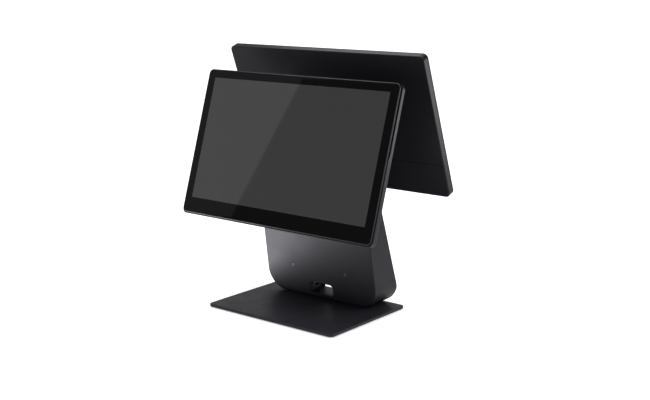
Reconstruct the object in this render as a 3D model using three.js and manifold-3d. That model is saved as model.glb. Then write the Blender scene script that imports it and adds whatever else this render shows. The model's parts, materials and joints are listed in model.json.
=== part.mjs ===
// POS touchscreen terminal: a steel base and a column carry an operator's touch display and a customer's
// display, back to back, each on its own friction hinge.
//
// Millimetres, +Z up. The origin is on the desk, at the centre of the footprint's box. The operator is on
// the -Y side, the customer is on the +Y side, and +X is on the operator's right.
//
// Each display is built in its own frame and then placed by a turned group. In that frame +X is across, +Y is
// the depth behind the glass, +Z is up along the glass, and the origin is the centre of the glass's front.

import * as THREE from "three";
import { mergeVertices } from "three/addons/utils/BufferGeometryUtils.js";
import Module from "manifold-3d";

const wasm = await Module();
wasm.setup();

// ---------------------------------------------------------------- driving dimensions

const GAP = 0.3; // clearance between touching pieces
const SHAFT_CLEARANCE = 0.1; // radial clearance of a hinge pin in a bore
const MERGE = 0.5; // how far two forms of one piece run into each other
const FAR = 200; // longer than any cut needs

const ROUND_SIDES = 20; // facets on a round piece
const HEAD_SIDES = 16; // facets on a screw's head
const SHANK_SIDES = 12; // facets on a screw's shank
const BORE_SIDES = 24; // facets on a hinge pin and its bores
const CORNER_STEPS = 10; // facets on a lower corner of the column

const FOOTPRINT_DEPTH = 222.4; // front edge of the base to the lowest edge of the customer glass

const base = { width: 250.4, depth: 187.4, corner: 7, bottom: 1.5, top: 6, edgeBevel: 0.6 };
const foot = { radius: 11, pocket: 1, inset: 20 };

const column = {
  bottom: 6.3,
  top: 240,
  halfWidth: 111.2, // at the bottom, before the corners are rounded
  taper: 0.027, // half width lost for each millimetre of height
  cornerRadius: 35, // lower corners, seen from the front
  front: 22.3, // y of the front face at the bottom
  frontLean: 0.169,
  rearFoot: 76, // y of the short upright part of the back
  rear: 83.6, // y of the back's sloping face, carried down to the bottom
  rearLean: 0.305,
  wall: 2,
  rearCover: 2,
};
const slot = { x: 1, width: 46, height: 18.5, bottom: 13.7, corner: 6, wall: 1.5, depth: 7 };
const rearNotch = { halfWidth: 36, top: 42, corner: 8 };
const columnScrew = {
  x: 53.5,
  z: 56,
  headRadius: 2.6,
  headHeight: 1.2,
  shankRadius: 1.4,
  length: 9,
  socketRadius: 1.3,
  socketDepth: 0.9,
};
const baseBolt = {
  x: 50,
  ys: [34, 64],
  headRadius: 4.6,
  headHeight: 1.8,
  shankRadius: 2.4,
  top: 16,
  socketRadius: 1.8,
  socketDepth: 1.2,
};

const mainDisplay = {
  width: 375,
  height: 233.8,
  corner: 8,
  y: -67.9,
  z: 258.4,
  tilt: 17.56,
  chin: 1.9, // how much further the frame reaches below the glass than above it
  lipDepth: 2.2,
  grooveEnd: 7,
  grooveInset: 2.2,
  thickness: 14,
};
// Low down, the housing's edge reaches further forward into the groove. The step slopes from foot to top.
const housingStep = { front: 4.8, foot: 6, top: 15 };
const customerDisplay = {
  width: 380.5,
  height: 234.3,
  corner: 8,
  z: 298.5,
  tilt: 20.43,
  chin: 0,
  lipDepth: 2.5,
  grooveEnd: 3.1,
  grooveInset: 2.2,
  thickness: 13.2,
  seamHeight: 55, // the lower back panel's height
};
const glass = { lip: 1.2, thickness: 1.9 };
const lcd = { width: 350.6, height: 214, corner: 2, thickness: 3.2, rise: 1.9 };
const chassis = { width: 352, height: 214, corner: 2, thickness: 1 };
const panelOpening = { width: 360, height: 221, corner: 3 };
const panWall = 2.2;
const panFloor = 2;

const cover = { width: 262, bottom: -84, top: 68, back: 43, corner: 14, wall: 2.2, bevel: 4 };
const backVents = { perSide: 8, pitch: 5.6, width: 2.4, first: 76, low: 0, high: 44 };
const speakerSlots = { perSide: 5, pitch: 5.6, width: 2.4, first: 96, front: 22, rear: 34 };
const socketWindow = { halfWidth: 78, front: 19.6, rear: 37.2 };
const cableWindow = { width: 150, height: 50, corner: 6 };
const shield = { halfWidth: 82, thickness: 0.8, rear: 37.4 };

const board = { width: 170, bottom: -79, top: 41, front: 18.8, thickness: 1.6, postInset: 6 };
const boardPost = { radius: 3.2, screwRadius: 1.6 };
const memory = { xs: [-72, -4], zs: [-2, 28], thickness: 3.7 };
const ssd = { xs: [-72, 8], zs: [-42, -20], thickness: 2.7 };
const speaker = { xs: [92, 122], ys: [17, 34], zs: [-78, -18] };
const driverBoard = { xs: [-55, 55], ys: [6.4, 8], zs: [-60, -10] };

// The power button is on the operator's left, and its places on x are distances from the middle.
const button = {
  length: 17,
  z: 40,
  front: 2.6,
  back: 6.6,
  capInner: 180.5, // x where the cap meets its flange's front
  flange: [178.6, 179.7], // the flange that keeps the cap in, on x
  flangeReach: 2,
  stemFront: 3.6,
  stemBack: 6.5,
  stemInner: 177.2,
};
const powerSwitch = {
  xs: [167.5, 175.4],
  ys: [5.8, 10.4],
  halfLength: 5,
  plungerTip: 176.2,
  plungerYs: [6, 7.2],
};

const hinge = {
  barrelRadius: 9,
  earRadius: 8,
  earFoot: 15, // half height of an ear where it meets the plate
  pinRadius: 4.1,
  halfWidth: 46,
  earThickness: 6,
  nutRadius: 7,
  nutLength: 5,
};
const mainHinge = { depth: 56, height: 20.5, plateWidth: 124, plateHeight: 92, plateThickness: 3 };
const customerHinge = { depth: 26, height: -15.2, plateWidth: 124, plateHeight: 80, plateThickness: 3 };
const plateScrew = {
  spacing: 75,
  headRadius: 3.6,
  headHeight: 2,
  shankRadius: 1.9,
  reach: 4,
  socketRadius: 1.6,
  socketDepth: 1.2,
  bossRadius: 4.5,
  bossHeight: 3,
};

// ---------------------------------------------------------------- materials

function material(color, roughness, metalness) {
  return new THREE.MeshStandardMaterial({ color, roughness, metalness });
}

const powderCoat = material(0x26252a, 0.5, 0.2);
const coverGlass = material(0x0b0b0c, 0.08, 0);
const darkPlastic = material(0x1c1c1f, 0.55, 0);
const screenGrey = material(0x3e3e3e, 0.3, 0);
const zincSteel = material(0xa7a9ab, 0.4, 1);
const blackSteel = material(0x222225, 0.45, 0.8);
const aluminium = material(0xb9bcc0, 0.4, 1);
const circuitGreen = material(0x1f5a36, 0.6, 0);
const rubber = material(0x141414, 0.9, 0);

// ---------------------------------------------------------------- shapes and solids

function roundedRect(width, height, radius, x = 0, y = 0) {
  const shape = new THREE.Shape();
  const [left, right, low, high] = [x - width / 2, x + width / 2, y - height / 2, y + height / 2];
  const quarter = Math.PI / 2;
  shape.moveTo(left + radius, low);
  shape.lineTo(right - radius, low);
  shape.absarc(right - radius, low + radius, radius, -quarter, 0);
  shape.lineTo(right, high - radius);
  shape.absarc(right - radius, high - radius, radius, 0, quarter);
  shape.lineTo(left + radius, high);
  shape.absarc(left + radius, high - radius, radius, quarter, 2 * quarter);
  shape.lineTo(left, low + radius);
  shape.absarc(left + radius, low + radius, radius, 2 * quarter, 3 * quarter);
  return shape;
}

function polygon(points) {
  return new THREE.Shape(points.map(([x, y]) => new THREE.Vector2(x, y)));
}

function toSolid(geometry) {
  const bare = geometry.clone();
  bare.deleteAttribute("normal");
  bare.deleteAttribute("uv");
  const merged = mergeVertices(bare, 1e-4);
  return new wasm.Manifold(
    new wasm.Mesh({
      numProp: 3,
      vertProperties: new Float32Array(merged.attributes.position.array),
      triVerts: new Uint32Array(merged.index.array),
    }),
  );
}

function toGeometry(solid) {
  const mesh = solid.getMesh();
  const geometry = new THREE.BufferGeometry();
  geometry.setAttribute("position", new THREE.BufferAttribute(mesh.vertProperties, 3));
  geometry.setIndex(new THREE.BufferAttribute(mesh.triVerts, 1));
  geometry.computeVertexNormals();
  return geometry;
}

// A prism of a shape, from z = 0 up. A bevel rounds both ends' edges inside the outline.
function extrude(shape, length, bevel = 0, arcSteps = 3) {
  return new THREE.ExtrudeGeometry(shape, {
    depth: length - 2 * bevel,
    bevelEnabled: bevel > 0,
    bevelThickness: bevel,
    bevelSize: bevel,
    bevelOffset: -bevel,
    bevelSegments: bevel > 1 ? 2 : 1,
    curveSegments: arcSteps,
  }).translate(0, 0, bevel);
}

// Shape in the XY plane, from z0 to z1.
function plateZ(shape, z0, z1, bevel = 0, arcSteps = 3) {
  return toSolid(extrude(shape, z1 - z0, bevel, arcSteps).translate(0, 0, z0));
}

// Shape seen from the front (its y is up), from y0 to y1.
function slabY(shape, y0, y1, bevel = 0, arcSteps = 3) {
  return toSolid(extrude(shape, y1 - y0, bevel, arcSteps).rotateX(Math.PI / 2).translate(0, y1, 0));
}

// Shape seen from the side (its x is Y, its y is Z), from x0 to x1.
function prismX(shape, x0, x1, arcSteps = 6) {
  const toSide = new THREE.Matrix4().makeBasis(
    new THREE.Vector3(0, 1, 0),
    new THREE.Vector3(0, 0, 1),
    new THREE.Vector3(1, 0, 0),
  );
  return toSolid(extrude(shape, x1 - x0, 0, arcSteps).applyMatrix4(toSide).translate(x0, 0, 0));
}

function block([x0, x1], [y0, y1], [z0, z1]) {
  const geometry = new THREE.BoxGeometry(x1 - x0, y1 - y0, z1 - z0);
  return toSolid(geometry.translate((x0 + x1) / 2, (y0 + y1) / 2, (z0 + z1) / 2));
}

// A round bar along one axis, from low to high on it, through the other two coordinates.
function rod(axis, radius, low, high, [a, b], sides = ROUND_SIDES) {
  const geometry = new THREE.CylinderGeometry(radius, radius, high - low, sides);
  const middle = (low + high) / 2;
  if (axis === "x") {
    return toSolid(geometry.rotateZ(-Math.PI / 2).translate(middle, a, b));
  }
  if (axis === "y") {
    return toSolid(geometry.translate(a, middle, b));
  }
  return toSolid(geometry.rotateX(Math.PI / 2).translate(a, b, middle));
}

const join = (first, ...others) => others.reduce((sum, next) => sum.add(next), first);
const cut = (first, ...others) => others.reduce((rest, next) => rest.subtract(next), first);

function part(name, solid, look) {
  const mesh = new THREE.Mesh(toGeometry(solid), look);
  mesh.name = name;
  return mesh;
}

// ---------------------------------------------------------------- stand

const baseFront = -FOOTPRINT_DEPTH / 2;
const baseMiddle = baseFront + base.depth / 2;
const footCentres = [];
for (const [side, x] of [["left", -1], ["right", 1]]) {
  for (const [end, y] of [["front", -1], ["rear", 1]]) {
    const centre = [x * (base.width / 2 - foot.inset), baseMiddle + y * (base.depth / 2 - foot.inset)];
    footCentres.push({ name: `foot_${end}_${side}`, centre });
  }
}
const boltCentres = [-1, 1].flatMap((side) => baseBolt.ys.map((y) => [side * baseBolt.x, y]));

function makeBasePlate() {
  const outline = roundedRect(base.width, base.depth, base.corner, 0, baseMiddle);
  const pockets = footCentres.map(({ centre }) =>
    rod("z", foot.radius + GAP, base.bottom - 1, base.bottom + foot.pocket, centre),
  );
  const counterbores = boltCentres.map((centre) =>
    rod("z", baseBolt.headRadius + GAP, base.bottom - 1, base.bottom + baseBolt.headHeight + 2 * GAP, centre),
  );
  const holes = boltCentres.map((centre) =>
    rod("z", baseBolt.shankRadius + GAP, 0, base.top + 1, centre, SHANK_SIDES),
  );
  return cut(plateZ(outline, base.bottom, base.top, base.edgeBevel), ...pockets, ...counterbores, ...holes);
}

function makeBaseBolt(centre) {
  const headLow = base.bottom + GAP;
  const headHigh = headLow + baseBolt.headHeight;
  const head = rod("z", baseBolt.headRadius, headLow, headHigh, centre);
  const shank = rod("z", baseBolt.shankRadius, headHigh - MERGE, baseBolt.top, centre, SHANK_SIDES);
  const socket = rod("z", baseBolt.socketRadius, headLow - 1, headLow + baseBolt.socketDepth, centre, 6);
  return cut(join(head, shank), socket);
}

// The column's outline seen from the front, drawn inward by an offset. The lower corners are arcs that run
// into the sloping sides.
function columnOutline(offset, top) {
  const { bottom, halfWidth, taper, cornerRadius } = column;
  const slope = Math.hypot(1, taper);
  const centreX = halfWidth - taper * cornerRadius - cornerRadius * slope;
  const centreZ = bottom + cornerRadius;
  const radius = cornerRadius - offset;
  const sideAngle = Math.atan(taper);
  const sideAt = (z) => halfWidth - taper * (z - bottom) - offset * slope;
  const shape = new THREE.Shape();
  shape.moveTo(-centreX, bottom + offset);
  shape.lineTo(centreX, bottom + offset);
  shape.absarc(centreX, centreZ, radius, -Math.PI / 2, sideAngle);
  shape.lineTo(sideAt(top), top);
  shape.lineTo(-sideAt(top), top);
  shape.absarc(-centreX, centreZ, radius, Math.PI - sideAngle, 1.5 * Math.PI);
  return shape;
}

const columnFrontAt = (z) => column.front - column.frontLean * (z - column.bottom);
const columnRearAt = (z) => Math.min(column.rearFoot, column.rear - column.rearLean * (z - column.bottom));
const rearBend = column.bottom + (column.rear - column.rearFoot) / column.rearLean;

// The column seen from the side, with its front and back faces moved in by two offsets.
function columnProfile(frontOffset, rearOffset, low, high) {
  return polygon([
    [columnFrontAt(low) + frontOffset, low],
    [columnRearAt(low) - rearOffset, low],
    [columnRearAt(rearBend) - rearOffset, rearBend],
    [columnRearAt(high) - rearOffset, high],
    [columnFrontAt(high) + frontOffset, high],
  ]);
}

function columnSolid(offset, frontOffset, rearOffset, high) {
  const outline = slabY(columnOutline(offset, high), -FAR, FAR, 0, CORNER_STEPS);
  return outline.intersect(prismX(columnProfile(frontOffset, rearOffset, column.bottom, high), -FAR, FAR));
}

// The cable slot's form, grown by an amount all round, from its face to a depth behind it.
function slotForm(grow, depth) {
  const middle = slot.bottom + slot.height / 2;
  const [width, height] = [slot.width + 2 * grow, slot.height + 2 * grow];
  const outline = roundedRect(width, height, slot.corner + grow, slot.x, middle);
  return slabY(outline, -FAR, column.front + depth);
}

function columnScrewAt(side) {
  return [side * columnScrew.x, columnScrew.z];
}

function makeColumnShell() {
  const outside = columnSolid(0, 0, 0, column.top);
  const inside = columnSolid(column.wall, column.wall, -10, column.top + 10);
  const boltHoles = boltCentres.map((centre) =>
    rod("z", baseBolt.shankRadius + GAP, 0, column.bottom + 2 * column.wall, centre, SHANK_SIDES),
  );
  const face = columnFrontAt(columnScrew.z);
  const seatDepth = face + columnScrew.headHeight + GAP;
  const screwSeats = [-1, 1].flatMap((side) => [
    rod("y", columnScrew.headRadius + GAP, 0, seatDepth, columnScrewAt(side), HEAD_SIDES),
    rod("y", columnScrew.shankRadius + GAP, 0, face + 2 * column.wall, columnScrewAt(side), SHANK_SIDES),
  ]);
  return cut(outside, inside, slotForm(slot.wall + GAP, slot.depth), ...boltHoles, ...screwSeats);
}

// The rear cover is flush with the shell's back edges and follows the upright foot and the slope above it.
// Its lower edge is notched, so that cables leave behind the column.
function makeColumnRearCover() {
  const band = (inset) => [
    [column.rearFoot - inset, column.bottom],
    [column.rearFoot - inset, rearBend],
    [columnRearAt(column.top) - inset, column.top],
  ];
  const profile = polygon([...band(0), ...band(column.rearCover).reverse()]);
  const outline = slabY(columnOutline(column.wall + GAP, column.top), -FAR, FAR, 0, CORNER_STEPS);
  const notchHeight = 2 * rearNotch.top;
  const notch = roundedRect(2 * rearNotch.halfWidth, notchHeight, rearNotch.corner);
  return cut(outline.intersect(prismX(profile, -FAR, FAR)), slabY(notch, 0, FAR));
}

// The grommet lines the slot through the shell's front wall. Its front edge follows the leaning face.
function makeSlotGrommet() {
  const high = slot.bottom + slot.height + 2 * slot.wall;
  const behindFace = prismX(
    polygon([
      [columnFrontAt(0) + GAP, 0],
      [FAR, 0],
      [FAR, high],
      [columnFrontAt(high) + GAP, high],
    ]),
    -FAR,
    FAR,
  );
  const outside = slotForm(slot.wall, slot.depth).intersect(behindFace);
  return cut(outside, slotForm(0, 2 * slot.depth));
}

function makeColumnScrew(side) {
  const face = columnFrontAt(columnScrew.z);
  const at = columnScrewAt(side);
  const head = rod("y", columnScrew.headRadius, face, face + columnScrew.headHeight, at, HEAD_SIDES);
  const shankFront = face + columnScrew.headHeight - MERGE;
  const shank = rod("y", columnScrew.shankRadius, shankFront, face + columnScrew.length, at, SHANK_SIDES);
  const socket = rod("y", columnScrew.socketRadius, face - 1, face + columnScrew.socketDepth, at, 6);
  return cut(join(head, shank), socket);
}

// The spine is a steel plate on two legs with feet. Posts on its front take the column's screws.
const spine = {
  halfWidth: 60,
  thickness: 3,
  lean: 0.2,
  top: 236,
  frontAtTop: 7.3,
  legInner: 41,
  archTop: 46,
  archCorner: 8,
  postRadius: 4,
  window: { width: 60, height: 90, corner: 10, middle: 130 },
};
const flange = { low: column.bottom + column.wall + GAP, thickness: 4, front: 26, rear: 70 };

const spineFrontAt = (z) => spine.frontAtTop + spine.lean * (spine.top - z);

function makeColumnSpine() {
  const plate = prismX(
    polygon([
      [spineFrontAt(flange.low), flange.low],
      [spineFrontAt(flange.low) + spine.thickness, flange.low],
      [spineFrontAt(spine.top) + spine.thickness, spine.top],
      [spineFrontAt(spine.top), spine.top],
    ]),
    -spine.halfWidth,
    spine.halfWidth,
  );
  const archHeight = 2 * spine.archTop;
  const archMiddle = spine.archTop - archHeight / 2;
  const arch = slabY(roundedRect(2 * spine.legInner, archHeight, spine.archCorner, 0, archMiddle), -FAR, FAR);
  const feet = [
    [-spine.halfWidth, -spine.legInner],
    [spine.legInner, spine.halfWidth],
  ].map((xs) => block(xs, [flange.front, flange.rear], [flange.low, flange.low + flange.thickness]));
  const { width, height, corner, middle } = spine.window;
  const window = slabY(roundedRect(width, height, corner, 0, middle), -FAR, FAR);
  const postLow = columnFrontAt(columnScrew.z - spine.postRadius) + column.wall + GAP;
  const postHigh = spineFrontAt(columnScrew.z) + MERGE;
  const posts = [-1, 1].map((side) =>
    rod("y", spine.postRadius, postLow, postHigh, columnScrewAt(side), SHANK_SIDES),
  );
  const screwReach = postLow + columnScrew.length;
  const screwHoles = [-1, 1].map((side) =>
    rod("y", columnScrew.shankRadius + GAP, 0, screwReach, columnScrewAt(side), SHANK_SIDES),
  );
  const boltHoles = boltCentres.map((centre) =>
    rod("z", baseBolt.shankRadius + GAP, 0, 2 * baseBolt.top, centre, SHANK_SIDES),
  );
  return cut(join(cut(plate, arch, window), ...feet, ...posts), ...boltHoles, ...screwHoles);
}

// The hinge head's stem, which goes down through the column's top cap and stands against the spine.
const neck = { halfWidth: 40, front: -3.6, rear: 7, bottom: 204, shoulder: 6, spread: 14 };
const topCap = { thickness: 3, corner: 3, bevel: 0.8 };

function makeColumnTopCap() {
  const low = column.top + GAP;
  const high = low + topCap.thickness;
  const front = columnFrontAt(column.top);
  const rear = columnRearAt(column.top);
  const halfWidth = column.halfWidth - column.taper * (column.top - column.bottom);
  const outline = roundedRect(2 * halfWidth, rear - front, topCap.corner, 0, (front + rear) / 2);
  const holeReach = neck.halfWidth + GAP;
  const hole = block([-holeReach, holeReach], [neck.front - GAP, neck.rear + GAP], [low - 1, high + 1]);
  return cut(plateZ(outline, low, high, topCap.bevel), hole);
}

// ---------------------------------------------------------------- displays' places and hinge axes

const radians = THREE.MathUtils.degToRad;
const mainTilt = radians(mainDisplay.tilt);
const customerTilt = radians(customerDisplay.tilt);

// The lowest edge of the customer glass is the footprint's rear limit.
const customerY = FOOTPRINT_DEPTH / 2 - (customerDisplay.height / 2) * Math.sin(customerTilt);

const mainGroup = new THREE.Group();
mainGroup.position.set(0, mainDisplay.y, mainDisplay.z);
mainGroup.rotation.x = -mainTilt;
mainGroup.updateMatrixWorld();

const customerGroup = new THREE.Group();
customerGroup.position.set(0, customerY, customerDisplay.z);
customerGroup.rotation.set(customerTilt, 0, Math.PI, "XYZ");
customerGroup.updateMatrixWorld();

function hingeAxis(group, { depth, height }) {
  return group.localToWorld(new THREE.Vector3(0, depth, height));
}

const mainAxis = hingeAxis(mainGroup, mainHinge);
const customerAxis = hingeAxis(customerGroup, customerHinge);

// ---------------------------------------------------------------- hinge

function makeHingeHead() {
  const direction = Math.atan2(customerAxis.z - mainAxis.z, customerAxis.y - mainAxis.y);
  const web = new THREE.Shape();
  const quarter = Math.PI / 2;
  web.absarc(mainAxis.y, mainAxis.z, hinge.barrelRadius, direction + quarter, direction + 3 * quarter);
  web.absarc(customerAxis.y, customerAxis.z, hinge.barrelRadius, direction - quarter, direction + quarter);
  const bridge = prismX(web, -hinge.halfWidth, hinge.halfWidth, 10);
  const stem = prismX(
    polygon([
      [neck.front, neck.bottom],
      [spineFrontAt(neck.bottom) - GAP, neck.bottom],
      [neck.rear, spine.top],
      [neck.rear, column.top + neck.shoulder],
      [neck.rear + neck.spread, mainAxis.z],
      [mainAxis.y, mainAxis.z],
      [neck.front, column.top + neck.shoulder],
    ]),
    -neck.halfWidth,
    neck.halfWidth,
  );
  const bores = [mainAxis, customerAxis].map((axis) =>
    rod("x", hinge.pinRadius + SHAFT_CLEARANCE, -FAR, FAR, [axis.y, axis.z], BORE_SIDES),
  );
  return cut(join(bridge, stem), ...bores);
}

const nutInner = hinge.halfWidth + 2 * GAP + hinge.earThickness + GAP;

function makeHingePin(axis) {
  const reach = nutInner + hinge.nutLength - 2 * GAP;
  return rod("x", hinge.pinRadius, -reach, reach, [axis.y, axis.z], BORE_SIDES);
}

function makeHingeNut(axis, side) {
  const ends = [side * nutInner, side * (nutInner + hinge.nutLength)];
  const body = rod("x", hinge.nutRadius, Math.min(...ends), Math.max(...ends), [axis.y, axis.z], 6);
  return cut(body, rod("x", hinge.pinRadius + SHAFT_CLEARANCE, -FAR, FAR, [axis.y, axis.z], BORE_SIDES));
}

// The four screws of a hinge plate, as places across and up a display's back.
function plateScrewCentres({ height }) {
  const half = plateScrew.spacing / 2;
  return [-half, half].flatMap((x) => [height - half, height + half].map((z) => [x, z]));
}

const PLATE_CORNER = 6;
const EAR_ARC = 1.1; // half angle of the ear's round end, in radians

// A plate on a display's back with two ears that turn on the hinge pin. It is in the display's frame.
function makeHingePlate({ depth, height, plateWidth, plateHeight, plateThickness }, back) {
  const front = back + GAP;
  const rear = front + plateThickness;
  const plate = slabY(roundedRect(plateWidth, plateHeight, PLATE_CORNER, 0, height), front, rear);
  const earInner = hinge.halfWidth + GAP;
  const profile = new THREE.Shape();
  profile.moveTo(front + MERGE, height - hinge.earFoot);
  profile.lineTo(rear + MERGE, height - hinge.earFoot);
  profile.absarc(depth, height, hinge.earRadius, -EAR_ARC, EAR_ARC);
  profile.lineTo(rear + MERGE, height + hinge.earFoot);
  profile.lineTo(front + MERGE, height + hinge.earFoot);
  const earStarts = [earInner, -earInner - hinge.earThickness];
  const ears = earStarts.map((x) => prismX(profile, x, x + hinge.earThickness));
  const bore = rod("x", hinge.pinRadius + SHAFT_CLEARANCE, -FAR, FAR, [depth, height], BORE_SIDES);
  const holes = plateScrewCentres({ height }).map((at) =>
    rod("y", plateScrew.shankRadius + GAP, front - 1, rear + 1, at, SHANK_SIDES),
  );
  return cut(join(plate, ...ears), bore, ...holes);
}

function makePlateScrew({ plateThickness }, back, at) {
  const headFront = back + GAP + plateThickness + GAP;
  const headRear = headFront + plateScrew.headHeight;
  const head = rod("y", plateScrew.headRadius, headFront, headRear, at, HEAD_SIDES);
  const shank = rod("y", plateScrew.shankRadius, back - plateScrew.reach, headFront + MERGE, at, SHANK_SIDES);
  const socket = rod("y", plateScrew.socketRadius, headRear - plateScrew.socketDepth, headRear + 1, at, 6);
  return cut(join(head, shank), socket);
}

// ---------------------------------------------------------------- display

const LIP_BEVEL = 0.4;
const GLASS_BEVEL = 0.3;

function makeGlass({ width, height, corner }) {
  const edge = 2 * (glass.lip + GAP);
  const outline = roundedRect(width - edge, height - edge, corner - glass.lip - GAP);
  return slabY(outline, 0, glass.thickness, GLASS_BEVEL);
}

// A display's outline seen from the front, drawn inward by an inset. The chin is added below the glass.
function displayOutline({ width, height, corner, chin }, inset) {
  return roundedRect(width - 2 * inset, height + chin - 2 * inset, corner - inset, 0, -chin / 2);
}

// A front frame with a thin outer lip around the glass, and a narrower neck behind it.
function makeFrontFrame(display) {
  const { width, height, corner, lipDepth, grooveEnd, grooveInset } = display;
  const lip = slabY(displayOutline(display, 0), 0, lipDepth, LIP_BEVEL);
  const neckRing = slabY(displayOutline(display, grooveInset), lipDepth - MERGE, grooveEnd - GAP);
  const edge = 2 * glass.lip;
  const pocketOutline = roundedRect(width - edge, height - edge, corner - glass.lip);
  const pocket = slabY(pocketOutline, -1, glass.thickness + GAP);
  const { width: openWidth, height: openHeight, corner: openCorner } = panelOpening;
  const opening = slabY(roundedRect(openWidth, openHeight, openCorner), -1, grooveEnd + 1);
  return cut(join(lip, neckRing), pocket, opening);
}

function makeLcdPanel() {
  const front = glass.thickness + GAP;
  return slabY(roundedRect(lcd.width, lcd.height, lcd.corner, 0, lcd.rise), front, front + lcd.thickness);
}

// An open pan: walls all round and a floor at the back.
function makePan(display) {
  const { grooveEnd, thickness } = display;
  const inside = slabY(displayOutline(display, panWall), grooveEnd - 1, thickness - panFloor);
  return cut(slabY(displayOutline(display, 0), grooveEnd, thickness), inside);
}

// ---------------------------------------------------------------- main display

const boardCentres = [-1, 1].flatMap((side) =>
  [board.bottom + board.postInset, board.top - board.postInset].map((z) => [
    side * (board.width / 2 - board.postInset),
    z,
  ]),
);
const boardBack = board.front + board.thickness;
const portFront = cover.bottom + 2 * GAP;

// A block on the operator's left, as high as a half height either side of the power button's middle.
function buttonBlock([inner, outer], depths, half) {
  return block([-outer, -inner], depths, [button.z - half, button.z + half]);
}

function makeMainFrontFrame() {
  const depths = [button.front - GAP, mainDisplay.grooveEnd + 1];
  const notch = buttonBlock([powerSwitch.xs[0], FAR], depths, button.length / 2 + GAP);
  return cut(makeFrontFrame(mainDisplay), notch);
}

// The rim that carries the lower part of the housing's edge forward, around the frame's neck.
function makeHousingStep() {
  const { grooveEnd, grooveInset } = mainDisplay;
  const { front, foot: low, top: high } = housingStep;
  const rear = grooveEnd + MERGE;
  const ring = cut(
    slabY(displayOutline(mainDisplay, 0), front, rear),
    slabY(displayOutline(mainDisplay, grooveInset - GAP), front - 1, rear + 1),
  );
  const above = polygon([
    [0, low],
    [front, low],
    [grooveEnd, high],
    [rear + 1, high],
    [rear + 1, FAR],
    [0, FAR],
  ]);
  return cut(ring, prismX(above, -FAR, FAR));
}

function makeMainRearHousing() {
  const back = mainDisplay.thickness;
  const { width, height, corner } = cableWindow;
  const window = slabY(roundedRect(width, height, corner), back - panFloor - 1, back + 1);
  const posts = boardCentres.map((at) =>
    rod("y", boardPost.radius, back - MERGE, board.front - GAP, at, SHANK_SIDES),
  );
  return join(cut(makePan(mainDisplay), window), makeHousingStep(), ...posts);
}

function makePanelChassis() {
  const front = glass.thickness + GAP + lcd.thickness + GAP;
  const outline = roundedRect(chassis.width, chassis.height, chassis.corner);
  const plate = slabY(outline, front, front + chassis.thickness);
  const half = button.length / 2 + 2 * button.flangeReach;
  const switchNotch = buttonBlock([powerSwitch.xs[0] - 1, FAR], [0, FAR], half);
  return cut(plate, switchNotch);
}

// The electronics cover: a shell with rounded back edges, vents, speaker slots and a window for the sockets.
function coverForm(offset, front, back, bevel) {
  const height = cover.top - cover.bottom - 2 * offset;
  const middle = (cover.top + cover.bottom) / 2;
  const outline = roundedRect(cover.width - 2 * offset, height, cover.corner - offset, 0, middle);
  const slab = slabY(outline, front - bevel, back, bevel);
  return slab.intersect(block([-FAR, FAR], [front, back + 1], [-FAR, FAR]));
}

// Slits at a pitch, outward from the first on each side. Each is cut through the box that ys and zs give.
function slits({ perSide, pitch, width, first }, ys, zs) {
  const cuts = [];
  for (const side of [-1, 1]) {
    for (let i = 0; i < perSide; i += 1) {
      const x = side * (first + pitch * i);
      cuts.push(block([x - width / 2, x + width / 2], ys, zs));
    }
  }
  return cuts;
}

function makeElectronicsCover() {
  const front = mainDisplay.thickness + GAP;
  const shell = cut(
    coverForm(0, front, cover.back, cover.bevel),
    coverForm(cover.wall, front - 1, cover.back - cover.wall, cover.bevel - cover.wall / 2),
  );
  const lowerWall = [cover.bottom - 1, cover.bottom + 2 * cover.wall];
  const vents = slits(backVents, [cover.back - 2 * cover.wall, FAR], [backVents.low, backVents.high]);
  const grille = slits(speakerSlots, [speakerSlots.front, speakerSlots.rear], lowerWall);
  const { halfWidth } = socketWindow;
  const sockets = block([-halfWidth, halfWidth], [socketWindow.front, socketWindow.rear], lowerWall);
  const inside = cover.back - cover.wall;
  const bosses = plateScrewCentres(mainHinge).map((at) =>
    rod("y", plateScrew.bossRadius, inside - plateScrew.bossHeight, inside + MERGE, at, SHANK_SIDES),
  );
  const screwHoles = plateScrewCentres(mainHinge).map((at) =>
    rod("y", plateScrew.shankRadius + GAP, inside - FAR, cover.back + 1, at, SHANK_SIDES),
  );
  return cut(join(shell, ...bosses), sockets, ...vents, ...grille, ...screwHoles);
}

// The sockets on the mainboard, in their order along its lower edge. All mouths face down along the glass.
const ports = [
  { name: "port_power", x: -62, width: 10, height: 11, depth: 14, make: makeJack },
  { name: "port_hdmi", x: -38, width: 15.4, height: 6.2, depth: 12, make: makeFlatSocket },
  { name: "port_usb_1", x: -12, width: 13.6, height: 15.4, depth: 18, make: makeStackedSocket },
  { name: "port_usb_2", x: 12, width: 13.6, height: 15.4, depth: 18, make: makeStackedSocket },
  { name: "port_lan", x: 40, width: 16, height: 13.6, depth: 20, make: makeModularSocket },
];
const portLow = boardBack + GAP;
const TONGUE_SETBACK = 0.8; // a tongue or pin starts this far inside its mouth

// A block in a socket: across its middle, over a range above the board, and from one depth to another.
function portBlock(port, width, [low, high], [near, far]) {
  const across = [port.x - width / 2, port.x + width / 2];
  return block(across, [portLow + low, portLow + high], [portFront + near, portFront + far]);
}

const portBody = (port) => portBlock(port, port.width, [0, port.height], [0, port.depth]);

function makeJack(port) {
  const jack = { mouthRadius: 3.2, mouthDepth: 9, pinRadius: 1 };
  const at = [port.x, portLow + port.height / 2];
  const mouth = rod("z", jack.mouthRadius, portFront - 1, portFront + jack.mouthDepth, at, HEAD_SIDES);
  const pinEnds = [portFront + TONGUE_SETBACK, portFront + jack.mouthDepth + MERGE];
  return join(cut(portBody(port), mouth), rod("z", jack.pinRadius, ...pinEnds, at, 8));
}

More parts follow.
